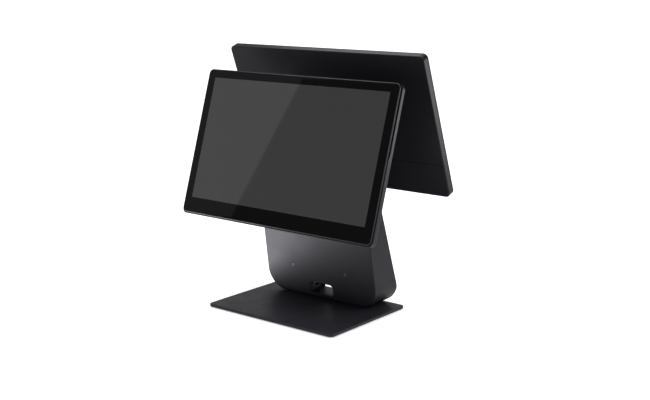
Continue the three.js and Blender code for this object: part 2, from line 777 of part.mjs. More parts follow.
function makeFlatSocket(port) {
  const flat = { mouthWidth: 14, wall: 0.7, mouthDepth: 9, tongueWidth: 11, tongue: [2.7, 3.7] };
  const mouth = portBlock(port, flat.mouthWidth, [flat.wall, port.height - flat.wall], [-1, flat.mouthDepth]);
  const reach = [TONGUE_SETBACK, flat.mouthDepth + MERGE];
  return join(cut(portBody(port), mouth), portBlock(port, flat.tongueWidth, flat.tongue, reach));
}

function makeStackedSocket(port) {
  const stack = { mouthWidth: 12.2, mouthDepth: 12, tongueWidth: 10.8, pitch: 7.6 };
  const mouth = [0.8, 6.6];
  const tongue = [2.2, 4.1];
  const raised = (range, level) => range.map((height) => height + level * stack.pitch);
  const mouths = [0, 1].map((level) =>
    portBlock(port, stack.mouthWidth, raised(mouth, level), [-1, stack.mouthDepth]),
  );
  const reach = [TONGUE_SETBACK, stack.mouthDepth + MERGE];
  const tongues = [0, 1].map((level) => portBlock(port, stack.tongueWidth, raised(tongue, level), reach));
  return join(cut(portBody(port), ...mouths), ...tongues);
}

function makeModularSocket(port) {
  const mouth = portBlock(port, 12, [2.4, 11.2], [-1, 14]);
  const latchSlot = portBlock(port, 5, [11, 12.4], [-1, 9]);
  return cut(portBody(port), mouth, latchSlot);
}

function makeIoShield() {
  const low = cover.bottom + cover.wall + GAP;
  const zs = [low, low + shield.thickness];
  const plate = block([-shield.halfWidth, shield.halfWidth], [boardBack + GAP, shield.rear], zs);
  const holes = ports.map(({ x, width, height }) => {
    const reach = width / 2 + GAP;
    return block([x - reach, x + reach], [0, portLow + height + GAP], [low - 1, low + shield.thickness + 1]);
  });
  return cut(plate, ...holes);
}

function makeMainboard() {
  const outline = roundedRect(board.width, board.top - board.bottom, 1, 0, (board.top + board.bottom) / 2);
  const plate = slabY(outline, board.front, boardBack);
  const holes = boardCentres.map((at) => rod("y", boardPost.screwRadius, 0, boardBack + 1, at, SHANK_SIDES));
  return cut(plate, ...holes);
}

// A flat module that lies on the mainboard.
function makeModule({ xs, zs, thickness }) {
  return block(xs, [boardBack + GAP, boardBack + GAP + thickness], zs);
}

function makeHeatSink() {
  const sink = { x: 28, z: 2, size: 60, foot: 28, baseLow: 23.6, baseHigh: 26.6, top: 35.5 };
  const fins = { count: 11, thickness: 1.6 };
  const half = sink.size / 2;
  const zs = [sink.z - half, sink.z + half];
  const footHalf = sink.foot / 2;
  const footBlock = block(
    [sink.x - footHalf, sink.x + footHalf],
    [boardBack + GAP, sink.baseLow + MERGE],
    [sink.z - footHalf, sink.z + footHalf],
  );
  const plate = block([sink.x - half, sink.x + half], [sink.baseLow, sink.baseHigh], zs);
  const pitch = (sink.size - fins.thickness) / (fins.count - 1);
  const blades = [];
  for (let i = 0; i < fins.count; i += 1) {
    const x = sink.x - half + i * pitch;
    blades.push(block([x, x + fins.thickness], [sink.baseHigh - MERGE, sink.top], zs));
  }
  return join(footBlock, plate, ...blades);
}

// ---------------------------------------------------------------- power button

function makePowerButton() {
  const half = button.length / 2;
  const depths = [button.front, button.back];
  const cap = buttonBlock([button.capInner, mainDisplay.width / 2], depths, half);
  const rim = buttonBlock(button.flange, depths, half + button.flangeReach);
  const stemXs = [button.stemInner, button.capInner + MERGE];
  const stem = buttonBlock(stemXs, [button.stemFront, button.stemBack], button.flangeReach);
  return join(cap, rim, stem);
}

function makePowerSwitch() {
  const { xs, ys, halfLength, plungerTip, plungerYs } = powerSwitch;
  const plungerXs = [xs[1] - MERGE, plungerTip];
  return join(buttonBlock(xs, ys, halfLength), buttonBlock(plungerXs, plungerYs, halfLength / 3));
}

// ---------------------------------------------------------------- customer display's back

const seamZ = -customerDisplay.height / 2 + customerDisplay.seamHeight;

function customerScrewHoles() {
  const back = customerDisplay.thickness;
  return plateScrewCentres(customerHinge).map((at) =>
    rod("y", plateScrew.shankRadius + GAP, back - 2 * plateScrew.reach, back + 1, at, SHANK_SIDES),
  );
}

function makeCustomerRearCover() {
  const back = customerDisplay.thickness;
  const panelArea = block(
    [-customerDisplay.width / 2 + panWall, customerDisplay.width / 2 - panWall],
    [back - panFloor - 1, back + 1],
    [-customerDisplay.height / 2 + panWall, seamZ],
  );
  return cut(makePan(customerDisplay), panelArea, ...customerScrewHoles());
}

function makeCustomerLowerCover() {
  const back = customerDisplay.thickness;
  const [low, high] = [-customerDisplay.height / 2 + panWall + GAP, seamZ - GAP];
  const width = customerDisplay.width - 2 * panWall - 2 * GAP;
  const corner = customerDisplay.corner - panWall - GAP;
  const plate = slabY(roundedRect(width, high - low, corner, 0, (low + high) / 2), back - panFloor, back);
  return cut(plate, ...customerScrewHoles());
}

// ---------------------------------------------------------------- assembly

const stand = new THREE.Group();
stand.add(part("base_plate", makeBasePlate(), powderCoat));
for (const { name, centre } of footCentres) {
  stand.add(part(name, rod("z", foot.radius, 0, base.bottom + foot.pocket - GAP, centre), rubber));
}
boltCentres.forEach((centre, i) => stand.add(part(`base_bolt_${i + 1}`, makeBaseBolt(centre), blackSteel)));
stand.add(
  part("column_shell", makeColumnShell(), powderCoat),
  part("column_rear_cover", makeColumnRearCover(), powderCoat),
  part("column_top_cap", makeColumnTopCap(), darkPlastic),
  part("column_spine", makeColumnSpine(), blackSteel),
  part("cable_slot_grommet", makeSlotGrommet(), darkPlastic),
  part("column_screw_left", makeColumnScrew(-1), blackSteel),
  part("column_screw_right", makeColumnScrew(1), blackSteel),
  part("hinge_head", makeHingeHead(), powderCoat),
);
for (const [owner, axis] of [["main", mainAxis], ["customer", customerAxis]]) {
  stand.add(
    part(`${owner}_hinge_pin`, makeHingePin(axis), zincSteel),
    part(`${owner}_hinge_nut_left`, makeHingeNut(axis, -1), blackSteel),
    part(`${owner}_hinge_nut_right`, makeHingeNut(axis, 1), blackSteel),
  );
}

mainGroup.add(
  part("main_glass", makeGlass(mainDisplay), coverGlass),
  part("main_front_frame", makeMainFrontFrame(), powderCoat),
  part("main_lcd_panel", makeLcdPanel(), screenGrey),
  part("main_panel_chassis", makePanelChassis(), zincSteel),
  part("main_rear_housing", makeMainRearHousing(), powderCoat),
  part("mainboard", makeMainboard(), circuitGreen),
  part("cpu_heat_sink", makeHeatSink(), aluminium),
  part("memory_module", makeModule(memory), circuitGreen),
  part("ssd_module", makeModule(ssd), circuitGreen),
  part("io_shield", makeIoShield(), zincSteel),
  part("electronics_cover", makeElectronicsCover(), darkPlastic),
  part("speaker_left", block([-speaker.xs[1], -speaker.xs[0]], speaker.ys, speaker.zs), darkPlastic),
  part("speaker_right", block(speaker.xs, speaker.ys, speaker.zs), darkPlastic),
  part("main_hinge_plate", makeHingePlate(mainHinge, cover.back), blackSteel),
  part("power_button", makePowerButton(), darkPlastic),
  part("power_switch", makePowerSwitch(), darkPlastic),
);
for (const port of ports) {
  mainGroup.add(part(port.name, port.make(port), port.make === makeJack ? darkPlastic : zincSteel));
}

customerGroup.add(
  part("customer_glass", makeGlass(customerDisplay), coverGlass),
  part("customer_front_frame", makeFrontFrame(customerDisplay), powderCoat),
  part("customer_lcd_panel", makeLcdPanel(), screenGrey),
  part("customer_driver_board", block(driverBoard.xs, driverBoard.ys, driverBoard.zs), circuitGreen),
  part("customer_rear_cover", makeCustomerRearCover(), powderCoat),
  part("customer_lower_cover", makeCustomerLowerCover(), powderCoat),
  part("customer_hinge_plate", makeHingePlate(customerHinge, customerDisplay.thickness), blackSteel),
);
for (const [owner, group, plate, back] of [
  ["main", mainGroup, mainHinge, cover.back],
  ["customer", customerGroup, customerHinge, customerDisplay.thickness],
]) {
  plateScrewCentres(plate).forEach((at, i) => {
    group.add(part(`${owner}_plate_screw_${i + 1}`, makePlateScrew(plate, back, at), blackSteel));
  });
}

const terminal = new THREE.Group();
terminal.add(stand, mainGroup, customerGroup);

export default terminal;
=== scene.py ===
"""POS touchscreen terminal: the looks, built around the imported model.

The scene is in metres, in the row frame: +X to the operator's right, +Y towards the customer, +Z up, with
the desk at z = 0. The pieces are drawn in millimetres, each in its own place: the row frame for the stand,
and for each display a frame with X across, Y behind the glass and Z up the glass, from the glass's centre.
"""

import json
import math

import bmesh
import bpy
from mathutils import Matrix, Vector


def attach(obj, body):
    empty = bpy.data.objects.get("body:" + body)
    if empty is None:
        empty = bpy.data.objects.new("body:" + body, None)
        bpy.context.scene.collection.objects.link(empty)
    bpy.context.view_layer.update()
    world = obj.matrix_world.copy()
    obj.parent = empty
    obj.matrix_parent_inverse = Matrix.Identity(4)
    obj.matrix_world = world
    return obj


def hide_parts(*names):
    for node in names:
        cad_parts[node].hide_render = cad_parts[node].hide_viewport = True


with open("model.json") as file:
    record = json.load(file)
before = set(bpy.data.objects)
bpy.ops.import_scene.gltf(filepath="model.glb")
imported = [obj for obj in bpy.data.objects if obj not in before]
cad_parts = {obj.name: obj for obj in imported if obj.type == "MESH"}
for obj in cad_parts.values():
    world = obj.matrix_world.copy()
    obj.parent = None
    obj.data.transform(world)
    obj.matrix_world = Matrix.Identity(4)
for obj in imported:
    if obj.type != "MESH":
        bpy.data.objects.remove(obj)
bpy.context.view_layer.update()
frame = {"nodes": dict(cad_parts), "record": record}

MM = 0.001
GAP = 0.3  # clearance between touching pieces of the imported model
PAST = 1.0  # a cut starts and ends this far outside what it cuts
FAR = 200.0  # a cut that runs through the whole terminal reaches this far from its middle
SINK = 0.5  # a post or boss starts this deep in the wall it is joined to

BODY_OF = {node: body for body, nodes in frame["record"]["behaviour"]["bodies"].items() for node in nodes}
SLOT_OF = {entry["node"]: entry["material_slot"] for entry in frame["record"]["subparts"]}

# ------------------------------------------------------------------ camera

CAMERA_AT = Vector((1.0758, -1.3116, 0.5248))
CAMERA_YAW = math.radians(38.73)  # turned from looking along +Y towards -X
CAMERA_PITCH = math.radians(11.744)  # below the horizon
CAMERA_LENS = 61.13
SENSOR_WIDTH = 36.0


def make_camera():
    data = bpy.data.cameras.new("camera")
    data.lens = CAMERA_LENS
    data.sensor_width = SENSOR_WIDTH
    data.clip_start = 0.05
    data.clip_end = 200
    camera = bpy.data.objects.new("camera", data)
    bpy.context.scene.collection.objects.link(camera)
    camera.location = CAMERA_AT
    camera.rotation_euler = (math.pi / 2 - CAMERA_PITCH, 0, CAMERA_YAW)
    bpy.context.scene.camera = camera


# ------------------------------------------------------------------ materials


class Nodes:
    """A short way to build one material's node tree."""

    def __init__(self, name):
        self.material = bpy.data.materials.new(name)
        self.material.use_nodes = True
        self.tree = self.material.node_tree
        self.shader = self.tree.nodes["Principled BSDF"]
        self.coordinates = self.tree.nodes.new("ShaderNodeTexCoord").outputs["Object"]

    def link(self, source, target):
        self.tree.links.new(source, target)

    def stretched(self, scale):
        """The coordinates scaled by a factor on each axis, for brushed and drawn surfaces."""
        node = self.tree.nodes.new("ShaderNodeMapping")
        node.inputs["Scale"].default_value = scale
        self.link(self.coordinates, node.inputs["Vector"])
        return node.outputs["Vector"]

    def noise(self, scale, detail=2.0, roughness=0.5, along=None):
        node = self.tree.nodes.new("ShaderNodeTexNoise")
        node.inputs["Scale"].default_value = scale
        node.inputs["Detail"].default_value = detail
        node.inputs["Roughness"].default_value = roughness
        self.link(along or self.coordinates, node.inputs["Vector"])
        return node.outputs["Fac"]

    def cells(self, scale, feature="F1"):
        node = self.tree.nodes.new("ShaderNodeTexVoronoi")
        node.feature = feature
        node.inputs["Scale"].default_value = scale
        self.link(self.coordinates, node.inputs["Vector"])
        return node

    def spread(self, value, low, high, start=0.3, end=0.7):
        """A value that runs from start to end, carried to the range low to high."""
        node = self.tree.nodes.new("ShaderNodeMapRange")
        node.inputs["From Min"].default_value = start
        node.inputs["From Max"].default_value = end
        node.inputs["To Min"].default_value = low
        node.inputs["To Max"].default_value = high
        self.link(value, node.inputs["Value"])
        return node.outputs["Result"]

    def sum(self, first, second, share):
        """first plus a share of second."""
        node = self.tree.nodes.new("ShaderNodeMath")
        node.operation = "MULTIPLY_ADD"
        node.inputs[1].default_value = share
        self.link(second, node.inputs[0])
        self.link(first, node.inputs[2])
        return node.outputs[0]

    def tint(self, value, dark, light):
        node = self.tree.nodes.new("ShaderNodeMix")
        node.data_type = "RGBA"
        for socket, colour in ((node.inputs[6], dark), (node.inputs[7], light)):
            if isinstance(colour, tuple):
                socket.default_value = (*colour, 1)
            else:
                self.link(colour, socket)
        self.link(value, node.inputs[0])
        return node.outputs[2]

    def bump(self, height, strength, distance):
        node = self.tree.nodes.new("ShaderNodeBump")
        node.inputs["Strength"].default_value = strength
        node.inputs["Distance"].default_value = distance
        self.link(height, node.inputs["Height"])
        self.link(node.outputs["Normal"], self.shader.inputs["Normal"])

    def colour(self, source):
        self.link(source, self.shader.inputs["Base Color"])

    def roughness(self, source):
        self.link(source, self.shader.inputs["Roughness"])

    def set(self, **values):
        for name, value in values.items():
            self.shader.inputs[name.replace("_", " ")].default_value = value


COAT_TINT = (0.93, 0.91, 1.0, 1.0)  # the coats reflect a little blue
GLASS_ROUGHNESS = (0.018, 0.034)  # the same over the print and over the panel


def powder_coat():
    """Black powder coat: an orange peel under a finer grain, with a few lighter flecks of the powder."""
    nodes = Nodes("powder_coat")
    flecks = nodes.spread(nodes.cells(1500).outputs["Distance"], 1.0, 0.0, 0.1, 0.28)
    ground = nodes.tint(nodes.noise(45, 4), (0.0165, 0.0158, 0.0195), (0.0220, 0.0212, 0.0260))
    nodes.colour(nodes.tint(flecks, ground, (0.03, 0.03, 0.035)))
    nodes.roughness(nodes.spread(nodes.noise(30, 4), 0.43, 0.52))
    peel = nodes.noise(520, 2)
    nodes.bump(nodes.sum(peel, nodes.noise(2100, 2), 0.5), 0.4, 0.00006)
    nodes.set(Specular_IOR_Level=0.14, Specular_Tint=COAT_TINT)
    return nodes.material


def housing_coat():
    """Satin black coat on a cast housing, finer and smoother than the stand's."""
    nodes = Nodes("housing_coat")
    nodes.colour(nodes.tint(nodes.noise(60, 4), (0.0085, 0.0083, 0.0105), (0.0120, 0.0117, 0.0145)))
    nodes.roughness(nodes.spread(nodes.noise(28, 4), 0.31, 0.37))
    nodes.bump(nodes.sum(nodes.noise(900, 2), nodes.noise(3600, 2), 0.4), 0.3, 0.00003)
    nodes.set(Specular_IOR_Level=0.12, Specular_Tint=COAT_TINT)
    return nodes.material


def rim_gloss_painted_highlight():
    """The front frame's narrow rounded rim: glossier than the housing, and a little lighter in colour, which
    is a painted highlight along the rim.
    """
    nodes = Nodes("rim_gloss_painted_highlight")
    nodes.colour(nodes.tint(nodes.noise(90, 3), (0.016, 0.0157, 0.019), (0.021, 0.0205, 0.0245)))
    nodes.roughness(nodes.spread(nodes.noise(60, 3), 0.3, 0.38))
    nodes.set(Specular_IOR_Level=0.3, Specular_Tint=COAT_TINT)
    return nodes.material


def painted_shade_ledge():
    """Painted shade: a near-black, dull colour on the ledge outside the rim, standing in for the shade in the
    groove there. The chin's front is part of it.
    """
    nodes = Nodes("painted_shade_ledge")
    nodes.colour(nodes.tint(nodes.noise(120, 3), (0.0050, 0.0050, 0.0056), (0.0075, 0.0075, 0.0082)))
    nodes.roughness(nodes.spread(nodes.noise(90, 3), 0.6, 0.75))
    nodes.set(Specular_IOR_Level=0.1)
    return nodes.material


def moulded(name, dark, light, roughness):
    """Moulded plastic with a spark-eroded grain."""
    nodes = Nodes(name)
    nodes.colour(nodes.tint(nodes.noise(80, 3), dark, light))
    nodes.roughness(nodes.spread(nodes.noise(50, 4), *roughness))
    pits = nodes.cells(2400).outputs["Distance"]
    nodes.bump(nodes.sum(nodes.noise(1600, 3), pits, 0.6), 0.45, 0.00006)
    nodes.set(Specular_IOR_Level=0.3)
    return nodes.material


def cover_glass():
    """Glass over a black print. Wiping leaves it a little less clear in places."""
    nodes = Nodes("cover_glass")
    nodes.colour(nodes.tint(nodes.noise(20, 3), (0.0030, 0.0030, 0.0032), (0.0042, 0.0040, 0.0040)))
    nodes.roughness(nodes.spread(nodes.noise(14, 5, 0.6), *GLASS_ROUGHNESS))
    nodes.set(Specular_IOR_Level=0.14)
    return nodes.material


def dark_screen():
    """The unlit panel under the glass: an even dark grey."""
    nodes = Nodes("dark_screen")
    nodes.colour(nodes.tint(nodes.noise(5, 2), (0.038, 0.038, 0.038), (0.040, 0.040, 0.040)))
    nodes.roughness(nodes.spread(nodes.noise(14, 5, 0.6), *GLASS_ROUGHNESS))
    nodes.set(Specular_IOR_Level=0.5)
    return nodes.material


def black_oxide():
    """Black oxide on steel, cloudy, with a thin oily sheen."""
    nodes = Nodes("black_oxide")
    nodes.colour(nodes.tint(nodes.noise(160, 4), (0.022, 0.022, 0.024), (0.05, 0.049, 0.051)))
    nodes.roughness(nodes.spread(nodes.noise(240, 4), 0.27, 0.45))
    nodes.bump(nodes.noise(1900, 3), 0.3, 0.00003)
    nodes.set(Metallic=0.7, Specular_IOR_Level=0.5)
    return nodes.material


def zinc_plate():
    """Zinc plate: bright grains of crystal, each a little different in tone and gloss."""
    nodes = Nodes("zinc_plate")
    grains = nodes.cells(170)
    tones = nodes.tree.nodes.new("ShaderNodeSeparateColor")
    nodes.link(grains.outputs["Color"], tones.inputs["Color"])
    nodes.colour(nodes.tint(tones.outputs[0], (0.40, 0.41, 0.42), (0.56, 0.57, 0.58)))
    nodes.roughness(nodes.spread(tones.outputs[1], 0.26, 0.42, 0.0, 1.0))
    nodes.bump(nodes.noise(1200, 3), 0.25, 0.00003)
    nodes.set(Metallic=1.0)
    return nodes.material


def extruded_aluminium():
    """Extruded aluminium: fine draw lines along the fins."""
    nodes = Nodes("extruded_aluminium")
    lines = nodes.noise(30, 4, 0.6, nodes.stretched((60, 20, 1.5)))
    nodes.colour(nodes.tint(lines, (0.56, 0.57, 0.58), (0.7, 0.71, 0.72)))
    nodes.roughness(nodes.spread(lines, 0.26, 0.42))
    nodes.bump(lines, 0.3, 0.00004)
    nodes.set(Metallic=1.0)
    return nodes.material


def circuit_board():
    """Solder mask over copper: a net of lighter tracks with small bright pads."""
    nodes = Nodes("circuit_board")
    mask = nodes.tint(nodes.noise(300, 3), (0.006, 0.05, 0.022), (0.010, 0.075, 0.03))
    tracks = nodes.spread(nodes.cells(240, "DISTANCE_TO_EDGE").outputs["Distance"], 1.0, 0.0, 0.03, 0.06)
    tracked = nodes.tint(tracks, mask, (0.03, 0.15, 0.06))
    pads = nodes.spread(nodes.cells(420).outputs["Distance"], 1.0, 0.0, 0.1, 0.16)
    nodes.colour(nodes.tint(pads, tracked, (0.55, 0.52, 0.42)))
    nodes.roughness(nodes.spread(nodes.noise(120, 3), 0.3, 0.45))
    nodes.bump(nodes.sum(tracks, pads, 0.5), 0.4, 0.00005)
    return nodes.material


def foot_rubber():
    """Matt black rubber with a coarse grain."""
    nodes = Nodes("foot_rubber")
    nodes.colour(nodes.tint(nodes.noise(200, 4), (0.012, 0.012, 0.012), (0.022, 0.022, 0.021)))
    nodes.roughness(nodes.spread(nodes.noise(90, 4), 0.68, 0.86))
    nodes.bump(nodes.noise(2400, 4), 0.5, 0.0001)
    return nodes.material


DARK_SCREEN = dark_screen()
RIM_PAINTED_HIGHLIGHT = rim_gloss_painted_highlight()
PAINTED_SHADE_LEDGE = painted_shade_ledge()
LOOKS = {  # the finish of each material slot in the record
    "powder_coat": powder_coat(),
    "housing_coat": housing_coat(),
    "cover_glass": cover_glass(),
    "dark_plastic": moulded("dark_plastic", (0.010, 0.010, 0.011), (0.015, 0.015, 0.016), (0.42, 0.54)),
    "button_plastic": moulded("button_plastic", (0.02, 0.02, 0.022), (0.028, 0.028, 0.03), (0.3, 0.4)),
    "screen": DARK_SCREEN,
    "zinc_steel": zinc_plate(),
    "black_steel": black_oxide(),
    "bare_aluminium": extruded_aluminium(),
    "circuit_board": circuit_board(),
    "foot_rubber": foot_rubber(),
}

# ------------------------------------------------------------------ places


class Place:
    """A frame of reference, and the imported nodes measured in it."""

    def __init__(self, matrix=Matrix.Identity(4)):
        self.matrix = matrix

    def points(self, node):
        to_local = self.matrix.inverted()
        return [(to_local @ vertex.co) / MM for vertex in frame["nodes"][node].data.vertices]

    def measure(self, node):
        """The lowest and the highest corner of a node."""
        points = self.points(node)
        low = Vector([min(p[axis] for p in points) for axis in range(3)])
        high = Vector([max(p[axis] for p in points) for axis in range(3)])
        return low, high


def display_place(glass, facing):
    """The frame of the display with this glass, which faces -Y (-1) or +Y (1)."""
    faces = [face for face in frame["nodes"][glass].data.polygons if face.normal.y * facing > 0]
    depth = -max(faces, key=lambda face: face.area).normal
    up = (Vector((0, 0, 1)) - depth * depth.z).normalized()
    turn = Matrix((depth.cross(up), depth, up)).transposed().to_4x4()
    low, high = Place(turn).measure(glass)
    centre = Vector(((low.x + high.x) / 2, low.y, (low.z + high.z) / 2))
    return Place(Matrix.Translation(turn @ centre * MM) @ turn)


# ------------------------------------------------------------------ outlines and meshes

CORNER_STEPS = 10
FILLET_STEPS = 4
SMALLEST_CORNER = 0.2
ROD_SIDES = 24
SAME_POINT = 1e-7  # points of a mesh closer than this, in metres, are merged


def rounded(width, height, corner, across=0.0, up=0.0):
    """The points of a rounded rectangle, anticlockwise, as many for any size."""
    corner = max(corner, SMALLEST_CORNER)
    points = []
    for turn, (side, end) in enumerate(((1, -1), (1, 1), (-1, 1), (-1, -1))):
        x = across + side * (width / 2 - corner)
        y = up + end * (height / 2 - corner)
        for step in range(CORNER_STEPS + 1):
            angle = math.pi / 2 * (turn - 1 + step / CORNER_STEPS)
            points.append((x + corner * math.cos(angle), y + corner * math.sin(angle)))
    return points


def eased(corners):
    """A profile's points. Each corner is (a, b, radius), and becomes an arc where it has a radius."""
    points = []
    for i, (a, b, radius) in enumerate(corners):
        here = Vector((a, b))
        if radius == 0:
            points.append(here)
            continue
        before = (Vector(corners[i - 1][:2]) - here).normalized()
        after = (Vector(corners[(i + 1) % len(corners)][:2]) - here).normalized()
        half = before.angle(after) / 2
        middle = here + (before + after).normalized() * (radius / math.sin(half))
        tangent = radius / math.tan(half)
        start, end = here + before * tangent - middle, here + after * tangent - middle
        arms = [start.slerp(end, step / FILLET_STEPS).normalized() for step in range(FILLET_STEPS + 1)]
        points += [middle + radius * arm for arm in arms]
    return points


def upright(outline, depth):
    """A ring of an outline seen from the front. depth is a distance, or a function of the height."""
    at = depth if callable(depth) else lambda z: depth
    return [Vector((x, at(z), z)) for x, z in outline]


def level(outline, height):
    """A ring of an outline seen from above."""
    return [Vector((x, y, height)) for x, y in outline]


def sideways(outline, across):
    """A ring of an outline seen from the side, as (y, z) points."""
    return [Vector((across, y, z)) for y, z in outline]


def loft(rings, loop=False, cap=0):
    """A closed mesh through rings of equally many points. The last end's face takes the material cap."""
    mesh = bmesh.new()
    rows = [[mesh.verts.new(point * MM) for point in ring] for ring in rings]
    pairs = list(zip(rows, rows[1:]))
    if loop:
        pairs.append((rows[-1], rows[0]))
    for near, far in pairs:
        for i in range(len(near)):
            j = (i + 1) % len(near)
            mesh.faces.new((near[i], near[j], far[j], far[i]))
    if not loop:
        mesh.faces.new(rows[0])
        mesh.faces.new(rows[-1]).material_index = cap
    bmesh.ops.remove_doubles(mesh, verts=mesh.verts, dist=SAME_POINT)
    bmesh.ops.recalc_face_normals(mesh, faces=mesh.faces)
    return mesh


def turned(axis, centre, profile, sides=40):
    """A closed mesh turned about an axis through centre. The profile's points are (radius, place along)."""
    rings = []
    for radius, place in profile:
        ring = []
        for side in range(sides):
            angle = 2 * math.pi * (side + 0.5) / sides
            across = centre[0] + radius * math.cos(angle)
            up = centre[1] + radius * math.sin(angle)
            order = {"x": (place, across, up), "y": (across, place, up), "z": (across, up, place)}
            ring.append(Vector(order[axis]))
        rings.append(ring)
    return loft(rings)


def rod(axis, centre, radius, start, end):
    """A plain round bar, for posts and for drilling holes."""
    return turned(axis, centre, [(radius, start), (radius, end)], ROD_SIDES)


def block(low, high, corner=SMALLEST_CORNER):
    """A closed box from its low to its high corner. Seen from the front, its corners are rounded."""
    width, height = high[0] - low[0], high[2] - low[2]
    outline = rounded(width, height, corner, low[0] + width / 2, low[2] + height / 2)
    return loft([upright(outline, low[1]), upright(outline, high[1])])


# ------------------------------------------------------------------ pieces


def to_object(name, mesh, place):
    """Puts a mesh drawn in this place into the scene."""
    data = bpy.data.meshes.new(name)
    mesh.to_mesh(data)
    mesh.free()
    made = bpy.data.objects.new(name, data)
    bpy.context.scene.collection.objects.link(made)
    made.matrix_world = place.matrix
    bpy.context.view_layer.update()
    return made


def carve(piece, forms, operation="DIFFERENCE"):
    """Cuts closed meshes out of a piece. UNION joins them on instead, and INTERSECT keeps what is shared."""
    tools = [to_object("tool", form, Place(piece.matrix_world.copy())) for form in forms]
    for tool in tools:
        modifier = piece.modifiers.new("carve", "BOOLEAN")
        modifier.operation = operation
        modifier.solver = "EXACT"
        modifier.object = tool
    result = bpy.data.meshes.new_from_object(piece.evaluated_get(bpy.context.evaluated_depsgraph_get()))
    piece.modifiers.clear()
    piece.data = result
    for tool in tools:
        bpy.data.meshes.remove(tool.data)


SHARP = math.radians(40)  # edges that turn by more than this are sharp


def ease_edges(shown, width):
    """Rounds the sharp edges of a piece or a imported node, and shades its broad faces flat."""
    bevel = shown.modifiers.new("edges", "BEVEL")
    bevel.width = width * MM
    bevel.segments = 2
    bevel.limit_method = "ANGLE"
    bevel.angle_limit = SHARP
    shading = shown.modifiers.new("shading", "WEIGHTED_NORMAL")
    shading.keep_sharp = True


def stand_in(node, mesh, place, edges=0.2, carving=(), adding=(), materials=None):
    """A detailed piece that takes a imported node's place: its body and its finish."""
    piece = to_object(node + "_form", mesh, place)
    for material in materials or [LOOKS[SLOT_OF[node]]]:
        piece.data.materials.append(material)
    if adding:
        carve(piece, adding, "UNION")
    if carving:
        carve(piece, carving)
    piece.data.shade_smooth()
    piece.data.set_sharp_from_angle(angle=SHARP)
    if edges:
        ease_edges(piece, edges)
    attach(piece, BODY_OF[node])
    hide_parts(node)
    return piece


NODE_EDGE = 0.25
NODE_EDGES = {"zinc_steel": 0.15, "circuit_board": 0.12, "bare_aluminium": 0.15, "black_steel": 0.35}
NODE_WELD = 1e-6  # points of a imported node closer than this, in metres, are merged
NODE_FLAT = math.radians(0.5)  # its faces that meet at less than this are joined


def dress_nodes():
    """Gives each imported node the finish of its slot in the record, and rounds its edges a little."""
    for name, node in frame["nodes"].items():
        node.data.materials.clear()
        node.data.materials.append(LOOKS[SLOT_OF[name]])
        weld = node.modifiers.new("weld", "WELD")
        weld.merge_threshold = NODE_WELD
        flat = node.modifiers.new("flat", "DECIMATE")
        flat.decimate_type = "DISSOLVE"
        flat.angle_limit = NODE_FLAT
        ease_edges(node, NODE_EDGES.get(SLOT_OF[name], NODE_EDGE))


# ------------------------------------------------------------------ displays

# A point of a profile is its distance in from the outline, its depth and, if it has one, its corner's radius.

DISPLAY_CORNER = 8.0
LIP = 1.2  # the front frame's rim beside the glass
RIM_DEPTH = 0.87  # the rim's rounding ends here
CHIN_DEPTH = 1.25  # and the ledge outside it, which is the chin's front and is painted dark as shade, ends here
RIM_PAINTED_HIGHLIGHT_LOOK, LEDGE_PAINTED_SHADE_LOOK = 1, 2  # their places among a front frame's materials: the rim's painted highlight and the ledge's painted shade
WINDOW_LOOK = 1  # the window's place among a glass's materials
GLASS_POCKET = 2.2  # the frame holds the glass this deep
GLASS_FLAT = 3.0  # the glass's edge profile starts and ends this far in from its edge
PAN_WALL = 2.2
PAN_FLOOR = 2.0
PAN_FLAT = 12.0  # a pan's profile starts and ends this far in from its edge
WINDOW = (344.2, 195.0, 0.6)  # the clear window in the black print: width, height, corner
WINDOW_RISE = 5.6
OPENING = (360.0, 221.0, 3.0)  # the frame's opening behind the glass: width, height, corner


class Display:
    """One display's place and sizes. body_outline includes the chin below the glass, rim_outline doesn't."""

    def __init__(self, owner, facing, lip_depth, pan_front, thickness, back_fillet):
        self.owner = owner
        self.place = display_place(f"{owner}_glass", facing)
        self.low, self.high = self.place.measure(f"{owner}_front_frame")
        self.width = self.high.x - self.low.x
        self.height = 2 * self.high.z
        self.chin = -self.high.z - self.low.z
        self.corner = DISPLAY_CORNER
        self.lip_depth = lip_depth
        self.pan_front = pan_front
        self.thickness = thickness
        self.back_fillet = back_fillet

    def rim_outline(self, inset):
        return rounded(self.width - 2 * inset, self.height - 2 * inset, self.corner - inset)

    def body_outline(self, inset):
        height = self.height + self.chin - 2 * inset
        return rounded(self.width - 2 * inset, height, self.corner - inset, up=-self.chin / 2)


MAIN = Display("main", -1, lip_depth=2.2, pan_front=7.0, thickness=14.0, back_fillet=1.6)
CUSTOMER = Display("customer", 1, lip_depth=2.5, pan_front=3.1, thickness=13.2, back_fillet=1.2)


def make_glass(display):
    """The cover glass. Its front has two zones: the black print and the window over the panel."""
    low, high = display.place.measure(f"{display.owner}_glass")
    width, height = high.x - low.x, high.z - low.z
    corner = display.corner - LIP - GAP
    profile = eased([
        (GLASS_FLAT, high.y, 0),
        (0, high.y, 0.25),
        (0, low.y, 0.45),
        (GLASS_FLAT, low.y, 0),
    ])
    rings = [
        upright(rounded(width - 2 * inset, height - 2 * inset, corner - inset), depth)
        for inset, depth in profile
    ]
    rings.append(upright(rounded(*WINDOW, up=WINDOW_RISE), low.y))
    glass = loft(rings, cap=WINDOW_LOOK)
    looks = [LOOKS["cover_glass"], DARK_SCREEN]
    stand_in(f"{display.owner}_glass", glass, display.place, edges=0, materials=looks)


